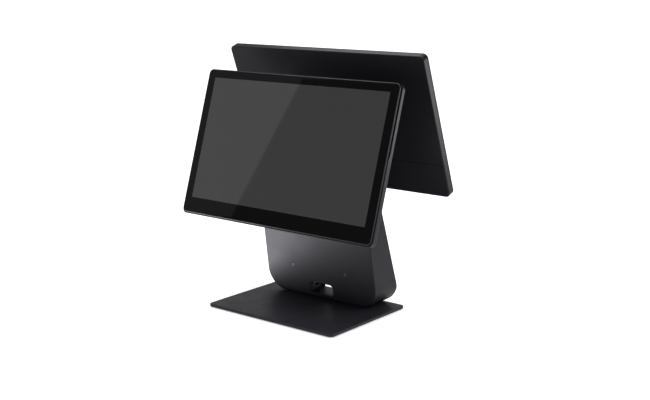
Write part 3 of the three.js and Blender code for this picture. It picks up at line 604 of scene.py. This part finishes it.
def make_front_frame(display, carving=()):
    """The frame around the glass: a rounded rim, a chin below it that lies lower, a groove and a neck."""
    neck_end = display.high.y
    inner = [(LIP, GLASS_POCKET), (LIP, 0.15), (LIP - 0.15, 0)]
    rim = inner + [(0.75, 0.06), (0.5, 0.26), (0.36, 0.55), (0.3, 0.85)]
    lip_end = display.lip_depth
    body = [(0.3, 0.95), (0.1, 1.1), (0, 1.3), (0, lip_end - 0.25), (0.25, lip_end)]
    neck = [(PAN_WALL, lip_end), (PAN_WALL, neck_end)]
    opening = rounded(*OPENING)
    rings = [upright(display.rim_outline(inset), depth) for inset, depth in rim]
    rings += [upright(display.body_outline(inset), depth) for inset, depth in body + neck]
    rings += [upright(opening, neck_end), upright(opening, GLASS_POCKET)]
    node = f"{display.owner}_front_frame"
    looks = [LOOKS["housing_coat"], RIM_PAINTED_HIGHLIGHT, PAINTED_SHADE_LEDGE]
    piece = stand_in(node, loft(rings, loop=True), display.place, edges=0, carving=carving, materials=looks)
    for face in piece.data.polygons:
        # the rim's faces take the lighter colour, a painted highlight
        if face.center.y < RIM_DEPTH * MM:
            face.material_index = RIM_PAINTED_HIGHLIGHT_LOOK
        # the ledge's faces take near-black painted shade
        elif face.center.y < CHIN_DEPTH * MM:
            face.material_index = LEDGE_PAINTED_SHADE_LOOK


def pan(display, rim_front=None):
    """A display's back as an open pan, with a rounded back edge. Its rim reaches forward to rim_front."""
    back, front = display.thickness, display.pan_front
    inside = back - PAN_FLOOR
    rim = [] if rim_front is None else [(PAN_WALL - GAP, front, 0), (PAN_WALL - GAP, rim_front, 0.2)]
    profile = eased([
        (PAN_FLAT, inside, 0),
        (PAN_WALL, inside, 0.8),
        (PAN_WALL, front, 0 if rim else 0.2),
        *rim,
        (0, rim_front or front, 0.4),
        (0, back, display.back_fillet),
        (PAN_FLAT, back, 0),
    ])
    return loft([upright(display.body_outline(inset), depth) for inset, depth in profile])


# The power button's notch in the operator's left side: across, behind the glass and up the glass.
NOTCH_INNER = -167.5
NOTCH_DEPTHS = (2.3, 8.0)
NOTCH_UP = 40.0
NOTCH_HALF = 8.5 + GAP  # half its length
NOTCH_CORNER = 0.6


def make_main_frame():
    """The operator display's front frame, with the notch for the power button."""
    front, rear = NOTCH_DEPTHS
    low = (-FAR, front, NOTCH_UP - NOTCH_HALF)
    high = (NOTCH_INNER, rear, NOTCH_UP + NOTCH_HALF)
    make_front_frame(MAIN, carving=[block(low, high, NOTCH_CORNER)])


STEP_FRONT = 4.8  # low down, the housing's edge reaches this far forward into the groove
STEP_FOOT = 6.0  # the slanting step between the narrow and the wide groove starts at this height
STEP_TOP = 15.0  # and ends at this one
CABLE_WINDOW = (150.0, 50.0, 6.0)  # the opening under the electronics cover: width, height, corner
BOARD_POST = 3.2
BOARD_POST_INSET = 6.0


def make_main_housing():
    """The operator display's back, with the mainboard's posts and a groove that is wider above."""
    back = MAIN.thickness
    through_floor = (back - PAN_FLOOR - PAST, back + PAST)
    window = loft([upright(rounded(*CABLE_WINDOW), depth) for depth in through_floor])
    low, high = MAIN.place.measure("mainboard")
    posts = [
        rod("y", (x, z), BOARD_POST, back - SINK, low.y - GAP)
        for x in (low.x + BOARD_POST_INSET, high.x - BOARD_POST_INSET)
        for z in (low.z + BOARD_POST_INSET, high.z - BOARD_POST_INSET)
    ]
    # The groove's wide upper part is cut out of a rim that reaches forward all round.
    groove_end = MAIN.pan_front
    wedge = [(0, STEP_FOOT), (STEP_FRONT, STEP_FOOT), (groove_end, STEP_TOP), (groove_end, FAR), (0, FAR)]
    stand_in(
        "main_rear_housing", pan(MAIN, STEP_FRONT), MAIN.place, edges=0.2,
        carving=[window, loft([sideways(wedge, x) for x in (-FAR, FAR)])], adding=posts,
    )


SCREW_SPACING = 75.0
SCREW_HOLE = 2.2
SCREW_REACH = 8.0  # a plate screw's hole starts this far in front of a display's back


def plate_screw_centres(display):
    """The places of a hinge plate's four screws, as (x, z) on the display's back."""
    low, high = display.place.measure(f"{display.owner}_hinge_plate")
    middle = (low.z + high.z) / 2
    half = SCREW_SPACING / 2
    return [(x, middle + z) for x in (-half, half) for z in (-half, half)]


def make_customer_covers():
    """The customer display's back, and the plate over its lower part below the seam."""
    back = CUSTOMER.thickness
    low, high = CUSTOMER.place.measure("customer_lower_cover")
    seam = high.z + GAP
    opening = block((low.x - GAP, back - PAN_FLOOR - PAST, low.z - GAP), (high.x + GAP, back + PAST, seam))
    # The hinge plate hides the screws' holes, and only the upper pair is cut.
    upper_pair = plate_screw_centres(CUSTOMER)[1::2]
    drills = [rod("y", at, SCREW_HOLE, back - SCREW_REACH, back + PAST) for at in upper_pair]
    cuts = [opening, *drills]
    stand_in("customer_rear_cover", pan(CUSTOMER), CUSTOMER.place, edges=0.35, carving=cuts)
    corner = CUSTOMER.corner - PAN_WALL - GAP
    outline = rounded(high.x - low.x, high.z - low.z, corner, up=(low.z + high.z) / 2)
    plate = loft([upright(outline, low.y), upright(outline, high.y)])
    stand_in("customer_lower_cover", plate, CUSTOMER.place, edges=0.35)


# ------------------------------------------------------------------ electronics cover

COVER_WALL = 2.2
COVER_CORNER = 14.0
COVER_FILLET = 4.0
COVER_FLAT = 20.0  # the cover's profile starts and ends this far in from its edge
VENTS = {"count": 8, "first": 76.0, "pitch": 5.6, "width": 2.4, "low": 0.0, "high": 44.0}
GRILLE = {"count": 5, "first": 96.0, "pitch": 5.6, "width": 2.4, "front": 22.0, "rear": 34.0}
SOCKETS = {"half_width": 78.0, "front": 19.6, "rear": 37.2, "corner": 2.0}
BOSS_RADIUS = 4.5  # around each plate screw, inside the cover
BOSS_HEIGHT = 3.0
COVER_DRILL_START = 20.0


def slit_places(slits):
    """Where the slits of one kind stand across the cover, outward on both sides."""
    return [side * (slits["first"] + slits["pitch"] * i) for side in (-1, 1) for i in range(slits["count"])]


def make_electronics_cover():
    """The cover over the electronics, with vents in its back, and grilles and the sockets' opening below."""
    low, high = MAIN.place.measure("electronics_cover")
    width, height = high.x - low.x, high.z - low.z
    middle = (low.z + high.z) / 2
    inside = high.y - COVER_WALL
    profile = eased([
        (COVER_FLAT, inside, 0),
        (COVER_WALL, inside, COVER_FILLET - COVER_WALL / 2),
        (COVER_WALL, low.y, 0.2),
        (0, low.y, 0.3),
        (0, high.y, COVER_FILLET),
        (COVER_FLAT, high.y, 0),
    ])
    shell = loft([
        upright(rounded(width - 2 * inset, height - 2 * inset, COVER_CORNER - inset, up=middle), depth)
        for inset, depth in profile
    ])
    half = VENTS["width"] / 2
    vents = [
        block((x - half, inside - PAST, VENTS["low"]), (x + half, high.y + PAST, VENTS["high"]), half)
        for x in slit_places(VENTS)
    ]

    def floor_cut(kind, width, corner, across=0.0):
        depth = kind["rear"] - kind["front"]
        centre = (kind["rear"] + kind["front"]) / 2
        outline = rounded(width, depth, corner, across, centre)
        return loft([level(outline, z) for z in (low.z - PAST, low.z + 2 * COVER_WALL)])

    grille = [floor_cut(GRILLE, GRILLE["width"], GRILLE["width"] / 2, x) for x in slit_places(GRILLE)]
    sockets = floor_cut(SOCKETS, 2 * SOCKETS["half_width"], SOCKETS["corner"])
    centres = plate_screw_centres(MAIN)
    bosses = [rod("y", at, BOSS_RADIUS, inside - BOSS_HEIGHT, inside + SINK) for at in centres]
    drills = [rod("y", at, SCREW_HOLE, COVER_DRILL_START, high.y + PAST) for at in centres]
    stand_in(
        "electronics_cover", shell, MAIN.place, edges=0.25,
        carving=[*vents, *grille, sockets, *drills], adding=bosses,
    )


# ------------------------------------------------------------------ stand

ROW = Place()

COLUMN_TAPER = 0.027  # each side leans in by this much for each millimetre of height
COLUMN_CORNER = 35.0
COLUMN_WALL = 2.0
FRONT_FILLET = 1.5
NEAR = 0.05  # points this close to an end count as being on it


class Column:
    """The column's faces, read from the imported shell."""

    def __init__(self):
        points = ROW.points("column_shell")
        self.low, self.high = ROW.measure("column_shell")
        foot = [p.y for p in points if p.z < self.low.z + NEAR]
        head = [p for p in points if p.z > self.high.z - NEAR]
        self.height = self.high.z - self.low.z
        self.front_foot = min(foot)
        self.lean = (self.front_foot - self.low.y) / self.height
        self.rear_foot = max(foot)
        self.bend = max(p.z for p in points if p.y > self.rear_foot - NEAR)
        rear_head = max(p.y for p in head)
        self.rear_lean = (self.rear_foot - rear_head) / (self.high.z - self.bend)
        self.half_width = max(p.x for p in head) + COLUMN_TAPER * self.height

    def front(self, z):
        return self.front_foot - self.lean * (z - self.low.z)

    def rear(self, z):
        return min(self.rear_foot, self.rear_foot - self.rear_lean * (z - self.bend))

    def outline(self, inset, top):
        """The column seen from the front, with round lower corners that run into the sloping sides."""
        steps = 3 * CORNER_STEPS
        slope = math.hypot(1, COLUMN_TAPER)
        centre = self.half_width - COLUMN_TAPER * COLUMN_CORNER - COLUMN_CORNER * slope
        radius = COLUMN_CORNER - inset
        turn = math.pi / 2 + math.atan(COLUMN_TAPER)
        right = []
        for step in range(steps + 1):
            angle = -math.pi / 2 + turn * step / steps
            up = self.low.z + COLUMN_CORNER + radius * math.sin(angle)
            right.append((centre + radius * math.cos(angle), up))
        right.append((self.half_width - COLUMN_TAPER * (top - self.low.z) - inset * slope, top))
        return right + [(-x, z) for x, z in reversed(right)]


COLUMN = Column()
SLOT = {"x": 1.0, "width": 46.0, "height": 18.5, "bottom": 13.7, "corner": 6.0, "wall": 1.5, "depth": 7.0}
COLUMN_SCREW_AT = (53.5, 56.0)  # across from the middle, and up
COLUMN_SCREW = {"head": 2.6, "head_height": 1.2, "shank": 1.4, "socket": 1.3, "socket_depth": 0.9}
BASE_BOLT = {"head": 4.6, "head_height": 1.8, "shank": 2.4, "socket": 1.8, "socket_depth": 1.2}
PLATE_SCREW = {"head": 3.6, "head_height": 2.0, "shank": 1.9, "socket": 1.6, "socket_depth": 1.2}


def slot_outline(grow):
    """The cable slot's outline seen from the front, grown all round."""
    middle = SLOT["bottom"] + SLOT["height"] / 2
    size = (SLOT["width"] + 2 * grow, SLOT["height"] + 2 * grow)
    return rounded(*size, SLOT["corner"] + grow, SLOT["x"], middle)


def seen_from_above(node):
    """The middle of a node of the stand, as (x, y), and the height of its top."""
    low, high = ROW.measure(node)
    return ((low.x + high.x) / 2, (low.y + high.y) / 2), high.z


def bolt_centres():
    return [seen_from_above(f"base_bolt_{number}")[0] for number in range(1, 5)]


def make_column_shell():
    """The column's front and sides: a solid with a smaller one, its back, the slot and the holes cut out."""
    beyond = 20
    top = COLUMN.high.z
    outside = [upright(COLUMN.outline(0, top), lambda z: COLUMN.rear(z) + beyond)]
    steps = FILLET_STEPS + 2
    for step in range(steps + 1):
        angle = math.pi / 2 * step / steps
        inset = FRONT_FILLET * (1 - math.cos(angle))
        setback = FRONT_FILLET * (1 - math.sin(angle))
        outside.append(upright(COLUMN.outline(inset, top), lambda z, s=setback: COLUMN.front(z) + s))
    inside = [
        upright(COLUMN.outline(COLUMN_WALL, top + beyond), lambda z: COLUMN.front(z) + COLUMN_WALL),
        upright(COLUMN.outline(COLUMN_WALL, top + beyond), lambda z: COLUMN.rear_foot + 2 * beyond),
    ]
    low = COLUMN.low.z - beyond
    high = top + beyond
    back = [
        (COLUMN.rear_foot, low),
        (COLUMN.rear_foot + 3 * beyond, low),
        (COLUMN.rear_foot + 3 * beyond, high),
        (COLUMN.rear(high), high),
        (COLUMN.rear_foot, COLUMN.bend),
    ]
    behind = loft([sideways(back, x) for x in (-FAR, FAR)])
    grow = SLOT["wall"] + GAP
    slot = loft([upright(slot_outline(grow), y) for y in (-FAR, COLUMN.front_foot + SLOT["depth"])])
    hole = BASE_BOLT["shank"] + GAP
    bolt_holes = [rod("z", at, hole, 0, COLUMN.low.z + 2 * COLUMN_WALL) for at in bolt_centres()]
    # The two screws sit in stepped holes with a countersunk rim.
    across, up = COLUMN_SCREW_AT
    face = COLUMN.front(up)
    seat = face + COLUMN_SCREW["head_height"] + GAP
    wide, narrow = COLUMN_SCREW["head"] + GAP, COLUMN_SCREW["shank"] + GAP
    countersink = [(wide + 0.6, face - 2), (wide + 0.2, face + 0.4), (wide, face + 0.6)]
    bore = [(wide, seat), (narrow, seat), (narrow, face + 2 * COLUMN_WALL)]
    seats = [turned("y", (side * across, up), countersink + bore) for side in (-1, 1)]
    cuts = [loft(inside), behind, slot, *bolt_holes, *seats]
    stand_in("column_shell", loft(outside), ROW, edges=0.25, carving=cuts)


def make_slot_grommet():
    """The grommet that lines the slot, with a rounded lip that follows the leaning face."""
    rear = ROW.measure("cable_slot_grommet")[1].y
    wall = SLOT["wall"]
    lip = wall / 2
    rings = [upright(slot_outline(wall), rear)]
    for step in range(2 * FILLET_STEPS + 1):
        angle = math.pi * step / (2 * FILLET_STEPS)
        grow = lip + lip * math.cos(angle)
        setback = GAP + lip - lip * math.sin(angle)
        rings.append(upright(slot_outline(grow), lambda z, s=setback: COLUMN.front(z) + s))
    rings.append(upright(slot_outline(0), rear))
    stand_in("cable_slot_grommet", loft(rings, loop=True), ROW, edges=0)


BASE_CORNER = 7.0
BASE_FLAT = 20.0  # the plate's edge profile starts and ends this far in from its edge
FEET = [f"foot_{end}_{side}" for side in ("left", "right") for end in ("front", "rear")]
FOOT_RADIUS = 11.0
FOOT_GROOVES = ((3.4, 5.0), (7.0, 8.6))  # the inner and outer radius of each grip groove
GROOVE_SLOPE = 0.4
GROOVE_DEPTH = 0.45


def make_base_plate():
    """The base plate, with pockets for the feet and for the bolts' heads underneath."""
    low, high = ROW.measure("base_plate")
    width, depth = high.x - low.x, high.y - low.y
    middle = (low.y + high.y) / 2
    profile = eased([(BASE_FLAT, low.z, 0), (0, low.z, 0.5), (0, high.z, 0.9), (BASE_FLAT, high.z, 0)])
    plate = loft([
        level(rounded(width - 2 * inset, depth - 2 * inset, BASE_CORNER - inset, 0, middle), z)
        for inset, z in profile
    ])
    pockets = []
    for name in FEET:
        at, top = seen_from_above(name)
        radius = FOOT_RADIUS + GAP
        pockets.append(turned("z", at, [(radius, 0), (radius, top + GAP)]))
    head_end = ROW.measure("base_bolt_1")[0].z + BASE_BOLT["head_height"] + GAP
    wide, narrow = BASE_BOLT["head"] + GAP, BASE_BOLT["shank"] + GAP
    for at in bolt_centres():
        bore = [(wide, 0), (wide, head_end), (narrow, head_end), (narrow, high.z + PAST)]
        pockets.append(turned("z", at, bore))
    stand_in("base_plate", plate, ROW, edges=0.15, carving=pockets)


def make_feet():
    """Rubber feet with two grip grooves underneath."""
    for name in FEET:
        at, top = seen_from_above(name)
        profile = []
        for inner, outer in FOOT_GROOVES:
            bottom = [(inner + GROOVE_SLOPE, GROOVE_DEPTH), (outer - GROOVE_SLOPE, GROOVE_DEPTH)]
            profile += [(inner, 0), *bottom, (outer, 0)]
        profile += [(10.3, 0), (10.8, 0.2), (FOOT_RADIUS, 0.7), (FOOT_RADIUS, top - 0.3), (10.7, top)]
        stand_in(name, turned("z", at, profile), ROW, edges=0)


# ------------------------------------------------------------------ fasteners

SCREW_PITCH = 0.7
SCREW_THREAD = 0.28  # the thread's depth
HEAD_CROWN = 0.45  # the rounding of a screw's head
HEAD_FLAT = 0.6  # the flat on top of it, as a share of the head's radius
SCREW_TIP = 0.7  # the far end of a screw, as a share of the shank's radius


def make_screw(node, place, axis, head, head_height, shank, socket, socket_depth, head_low=True):
    """A round-head screw with a hexagon socket, in its node's place. head, shank and socket are radii.
    The head is at the node's low end on the axis, or else at its high end."""
    low, high = place.measure(node)
    index = "xyz".index(axis)
    others = [i for i in range(3) if i != index]
    centre = [(low[i] + high[i]) / 2 for i in others]
    length = high[index] - low[index]
    start, way = (low[index], 1) if head_low else (high[index], -1)

    def from_head(profile):
        return [(radius, start + way * distance) for radius, distance in profile]

    crown = min(HEAD_CROWN, head_height / 2)
    profile = eased([(HEAD_FLAT * head, 0, 0), (head, 0, crown), (head, head_height, 0)])
    profile += [(shank, head_height), (shank, head_height + 0.4)]
    turns = int((length - head_height - 2 * SCREW_PITCH) / SCREW_PITCH)
    for turn in range(turns):
        begin = head_height + 0.5 + turn * SCREW_PITCH
        profile += [(shank - SCREW_THREAD, begin + SCREW_PITCH / 2), (shank, begin + SCREW_PITCH)]
    profile.append((SCREW_TIP * shank, length))
    hexagon = [(socket, -PAST), (socket, socket_depth), (0.2 * socket, socket_depth + 0.3)]
    recess = turned(axis, centre, from_head(hexagon), 6)
    stand_in(node, turned(axis, centre, from_head(profile)), place, edges=0, carving=[recess])


def make_screws():
    for side in ("left", "right"):
        make_screw(f"column_screw_{side}", ROW, "y", **COLUMN_SCREW)
    for number in range(1, 5):
        make_screw(f"base_bolt_{number}", ROW, "z", **BASE_BOLT)
        for display in (MAIN, CUSTOMER):
            name = f"{display.owner}_plate_screw_{number}"
            make_screw(name, display.place, "y", **PLATE_SCREW, head_low=False)


PIN_PITCH = 0.8
PIN_THREAD = 0.35  # the thread's depth
NUT_CHAMFER = 0.9
NUT_PLAY = 0.1  # between a nut's bore and its pin
NUT_SHARP = math.radians(25)


def seen_from_the_side(node):
    """The middle of a node of the stand as (y, z), its radius from front to back, and its two ends."""
    low, high = ROW.measure(node)
    return ((low.y + high.y) / 2, (low.z + high.z) / 2), (high.y - low.y) / 2, low.x, high.x


def make_hinge_pin(owner):
    """A hinge pin: plain between its nuts, threaded and chamfered at both ends."""
    centre, radius, _, end = seen_from_the_side(f"{owner}_hinge_pin")
    thread_start = ROW.measure(f"{owner}_hinge_nut_right")[0].x
    half = [(0.55 * radius, end), (radius - 0.5, end - 0.1), (radius, end - 0.7)]
    place = end - 0.9
    while place - PIN_PITCH > thread_start:
        half += [(radius, place), (radius - PIN_THREAD, place - PIN_PITCH / 2)]
        place -= PIN_PITCH
    half.append((radius, place))
    profile = half + [(r, -x) for r, x in reversed(half)]
    stand_in(f"{owner}_hinge_pin", turned("x", centre, profile), ROW, edges=0)


def make_hinge_nut(owner, side):
    """A hexagon nut with turned chamfers on both faces."""
    node = f"{owner}_hinge_nut_{side}"
    low, high = ROW.measure(node)
    centre, half_depth, start, end = seen_from_the_side(node)
    radius = max(half_depth, (high.z - low.z) / 2)
    body = turned("x", centre, [(radius, start), (radius, end)], 6)
    # A turned lens that just clears the hexagon's corners takes the corners off both faces.
    rim, face = radius + 0.05, 0.84 * radius
    lens = [(face, start - 0.01), (rim, start + NUT_CHAMFER), (rim, end - NUT_CHAMFER), (face, end + 0.01)]
    bore = seen_from_the_side(f"{owner}_hinge_pin")[1] + NUT_PLAY
    piece = stand_in(node, body, ROW, edges=0)
    carve(piece, [turned("x", centre, lens)], "INTERSECT")
    carve(piece, [turned("x", centre, [(bore, start - PAST), (bore, end + PAST)])])
    piece.data.shade_smooth()
    piece.data.set_sharp_from_angle(angle=NUT_SHARP)


# ------------------------------------------------------------------ stage and light

FLOOR_GLOW = 0.4  # the floor is lit from below as well, as a light table is
FLOOR_REACH = 60.0


def make_stage():
    """The wide pale floor."""
    nodes = Nodes("pale_floor")
    nodes.colour(nodes.tint(nodes.noise(3, 2), (0.86, 0.86, 0.86), (0.9, 0.9, 0.9)))
    nodes.set(Roughness=0.9, Specular_IOR_Level=0.1)
    nodes.set(Emission_Color=(1, 1, 1, 1), Emission_Strength=FLOOR_GLOW)
    mesh = bpy.data.meshes.new("floor")
    corners = [(FLOOR_REACH * x, FLOOR_REACH * y, 0) for x, y in ((-1, -1), (1, -1), (1, 1), (-1, 1))]
    mesh.from_pydata(corners, [], [(0, 1, 2, 3)])
    mesh.materials.append(nodes.material)
    floor = bpy.data.objects.new("floor", mesh)
    bpy.context.scene.collection.objects.link(floor)


def make_sun(name, strength, direction, angle):
    data = bpy.data.lights.new(name, "SUN")
    data.energy = strength
    data.angle = math.radians(angle)
    lamp = bpy.data.objects.new(name, data)
    bpy.context.scene.collection.objects.link(lamp)
    lamp.rotation_euler = Vector(direction).to_track_quat("Z", "Y").to_euler()


UP = (0, 0, 1)


def make_softbox(name, radiance, at, look_at, width, height, up=UP):
    """A flat light of even radiance, with its height along up as seen from the thing it looks at."""
    data = bpy.data.lights.new(name, "AREA")
    data.shape = "RECTANGLE"
    data.size = width
    data.size_y = height
    data.energy = radiance * math.pi * width * height
    lamp = bpy.data.objects.new(name, data)
    bpy.context.scene.collection.objects.link(lamp)
    out = (Vector(at) - Vector(look_at)).normalized()
    right = Vector(up).cross(out).normalized()
    turn = Matrix((right, out.cross(right), out)).transposed().to_4x4()
    lamp.matrix_world = Matrix.Translation(at) @ turn
    lamp.visible_camera = False
    return lamp


def flag(lamp, state, nodes):
    """Shades a lamp as a studio flag does. It lights only the pieces that replace these nodes (INCLUDE), or
    everything but them (EXCLUDE)."""
    pieces = bpy.data.collections.new(lamp.name + "_flag")
    for node in nodes:
        pieces.objects.link(bpy.data.objects[node + "_form"])
    for entry in pieces.collection_objects:
        entry.light_linking.link_state = state
    lamp.light_linking.receiver_collection = pieces


def make_world(grey):
    world = bpy.data.worlds.new("studio")
    world.use_nodes = True
    world.node_tree.nodes["Background"].inputs["Color"].default_value = (grey, grey, grey, 1)
    bpy.context.scene.world = world


def mirrored(point, normal):
    """The way the camera's ray to a point leaves a mirror with this normal."""
    ray = (point - CAMERA_AT).normalized()
    return ray - 2 * ray.dot(normal) * normal


# Where the edge of the screen softbox's reflection crosses the main glass, in the display's frame.
SHEEN_TOP = (8.0, 113.0)
SHEEN_FOOT = (-82.0, -115.0)
SHEEN_DISTANCE = 3.0
SHEEN_WIDTH = 1.7
SHEEN_HEIGHT = 3.0
SHEEN_RADIANCE = 0.44


def make_sheen():
    """The softbox whose slanting edge the main screen reflects."""
    matrix = MAIN.place.matrix
    normal = -(matrix.to_3x3() @ Vector((0, 1, 0)))
    points = [matrix @ (Vector((x, 0, z)) * MM) for x, z in (SHEEN_TOP, SHEEN_FOOT)]
    rays = [mirrored(point, normal) for point in points]
    out = (rays[0] + rays[1]).normalized()
    centre = (points[0] + points[1]) / 2
    ends = []
    for point, ray in zip(points, rays):
        reach = (SHEEN_DISTANCE - (point - centre).dot(out)) / ray.dot(out)
        ends.append(point + ray * reach)
    along = (ends[0] - ends[1]).normalized()
    aside = along.cross(out).normalized()
    middle = (ends[0] + ends[1]) / 2 - aside * SHEEN_WIDTH / 2
    make_softbox("screen_softbox", SHEEN_RADIANCE, middle, middle - out, SHEEN_WIDTH, SHEEN_HEIGHT, up=along)


# What the card on the floor lights: the column's leaning face and the frame above it.
CARD_LIT = (
    "column_shell", "cable_slot_grommet", "column_screw_left", "column_screw_right", "main_front_frame",
)


def make_lights():
    """The studio: a wide light overhead, one for the screen, two strips, a card and two lights behind."""
    make_world(0.1)
    make_sun("overhead_sun", 3.2, (-0.2, -0.2, 3.0), 90)
    make_sheen()
    # Two strips light the displays' right sides, and are kept off the column.
    side_strip = make_softbox("side_strip", 6.6, (0.55, 0.32, 0.33), (0.245, -0.088, 0.31), 0.3, 0.32)
    edge_strip = make_softbox("edge_strip", 5.0, (0.9, -0.14, 0.12), (0.19, -0.08, 0.15), 0.12, 0.24)
    for strip in (side_strip, edge_strip):
        flag(strip, "EXCLUDE", ["column_shell"])
    card_at, card_faces = (-0.285, -0.16, 0.002), (-0.285, -0.16, 1.0)
    column_card = make_softbox("column_card", 13.5, card_at, card_faces, 0.27, 0.32, up=(0, 1, 0))
    flag(column_card, "INCLUDE", CARD_LIT)
    make_softbox("rear_softbox", 0.65, (-1.4, 1.5, 0.65), (0, 0, 0), 1.8, 0.8)
    make_softbox("top_softbox", 1.8, (-0.66, 0.98, 1.3), (0.1, 0.05, 0.4), 0.8, 0.7)


make_camera()
dress_nodes()
for screen in (MAIN, CUSTOMER):
    make_glass(screen)
make_main_frame()
make_front_frame(CUSTOMER)
make_main_housing()
make_customer_covers()
make_electronics_cover()
make_base_plate()
make_feet()
make_column_shell()
make_slot_grommet()
make_screws()
for hinge_owner in ("main", "customer"):
    make_hinge_pin(hinge_owner)
    for hinge_side in ("left", "right"):
        make_hinge_nut(hinge_owner, hinge_side)

make_stage()
make_lights()
bpy.context.scene.view_settings.view_transform = "Standard"
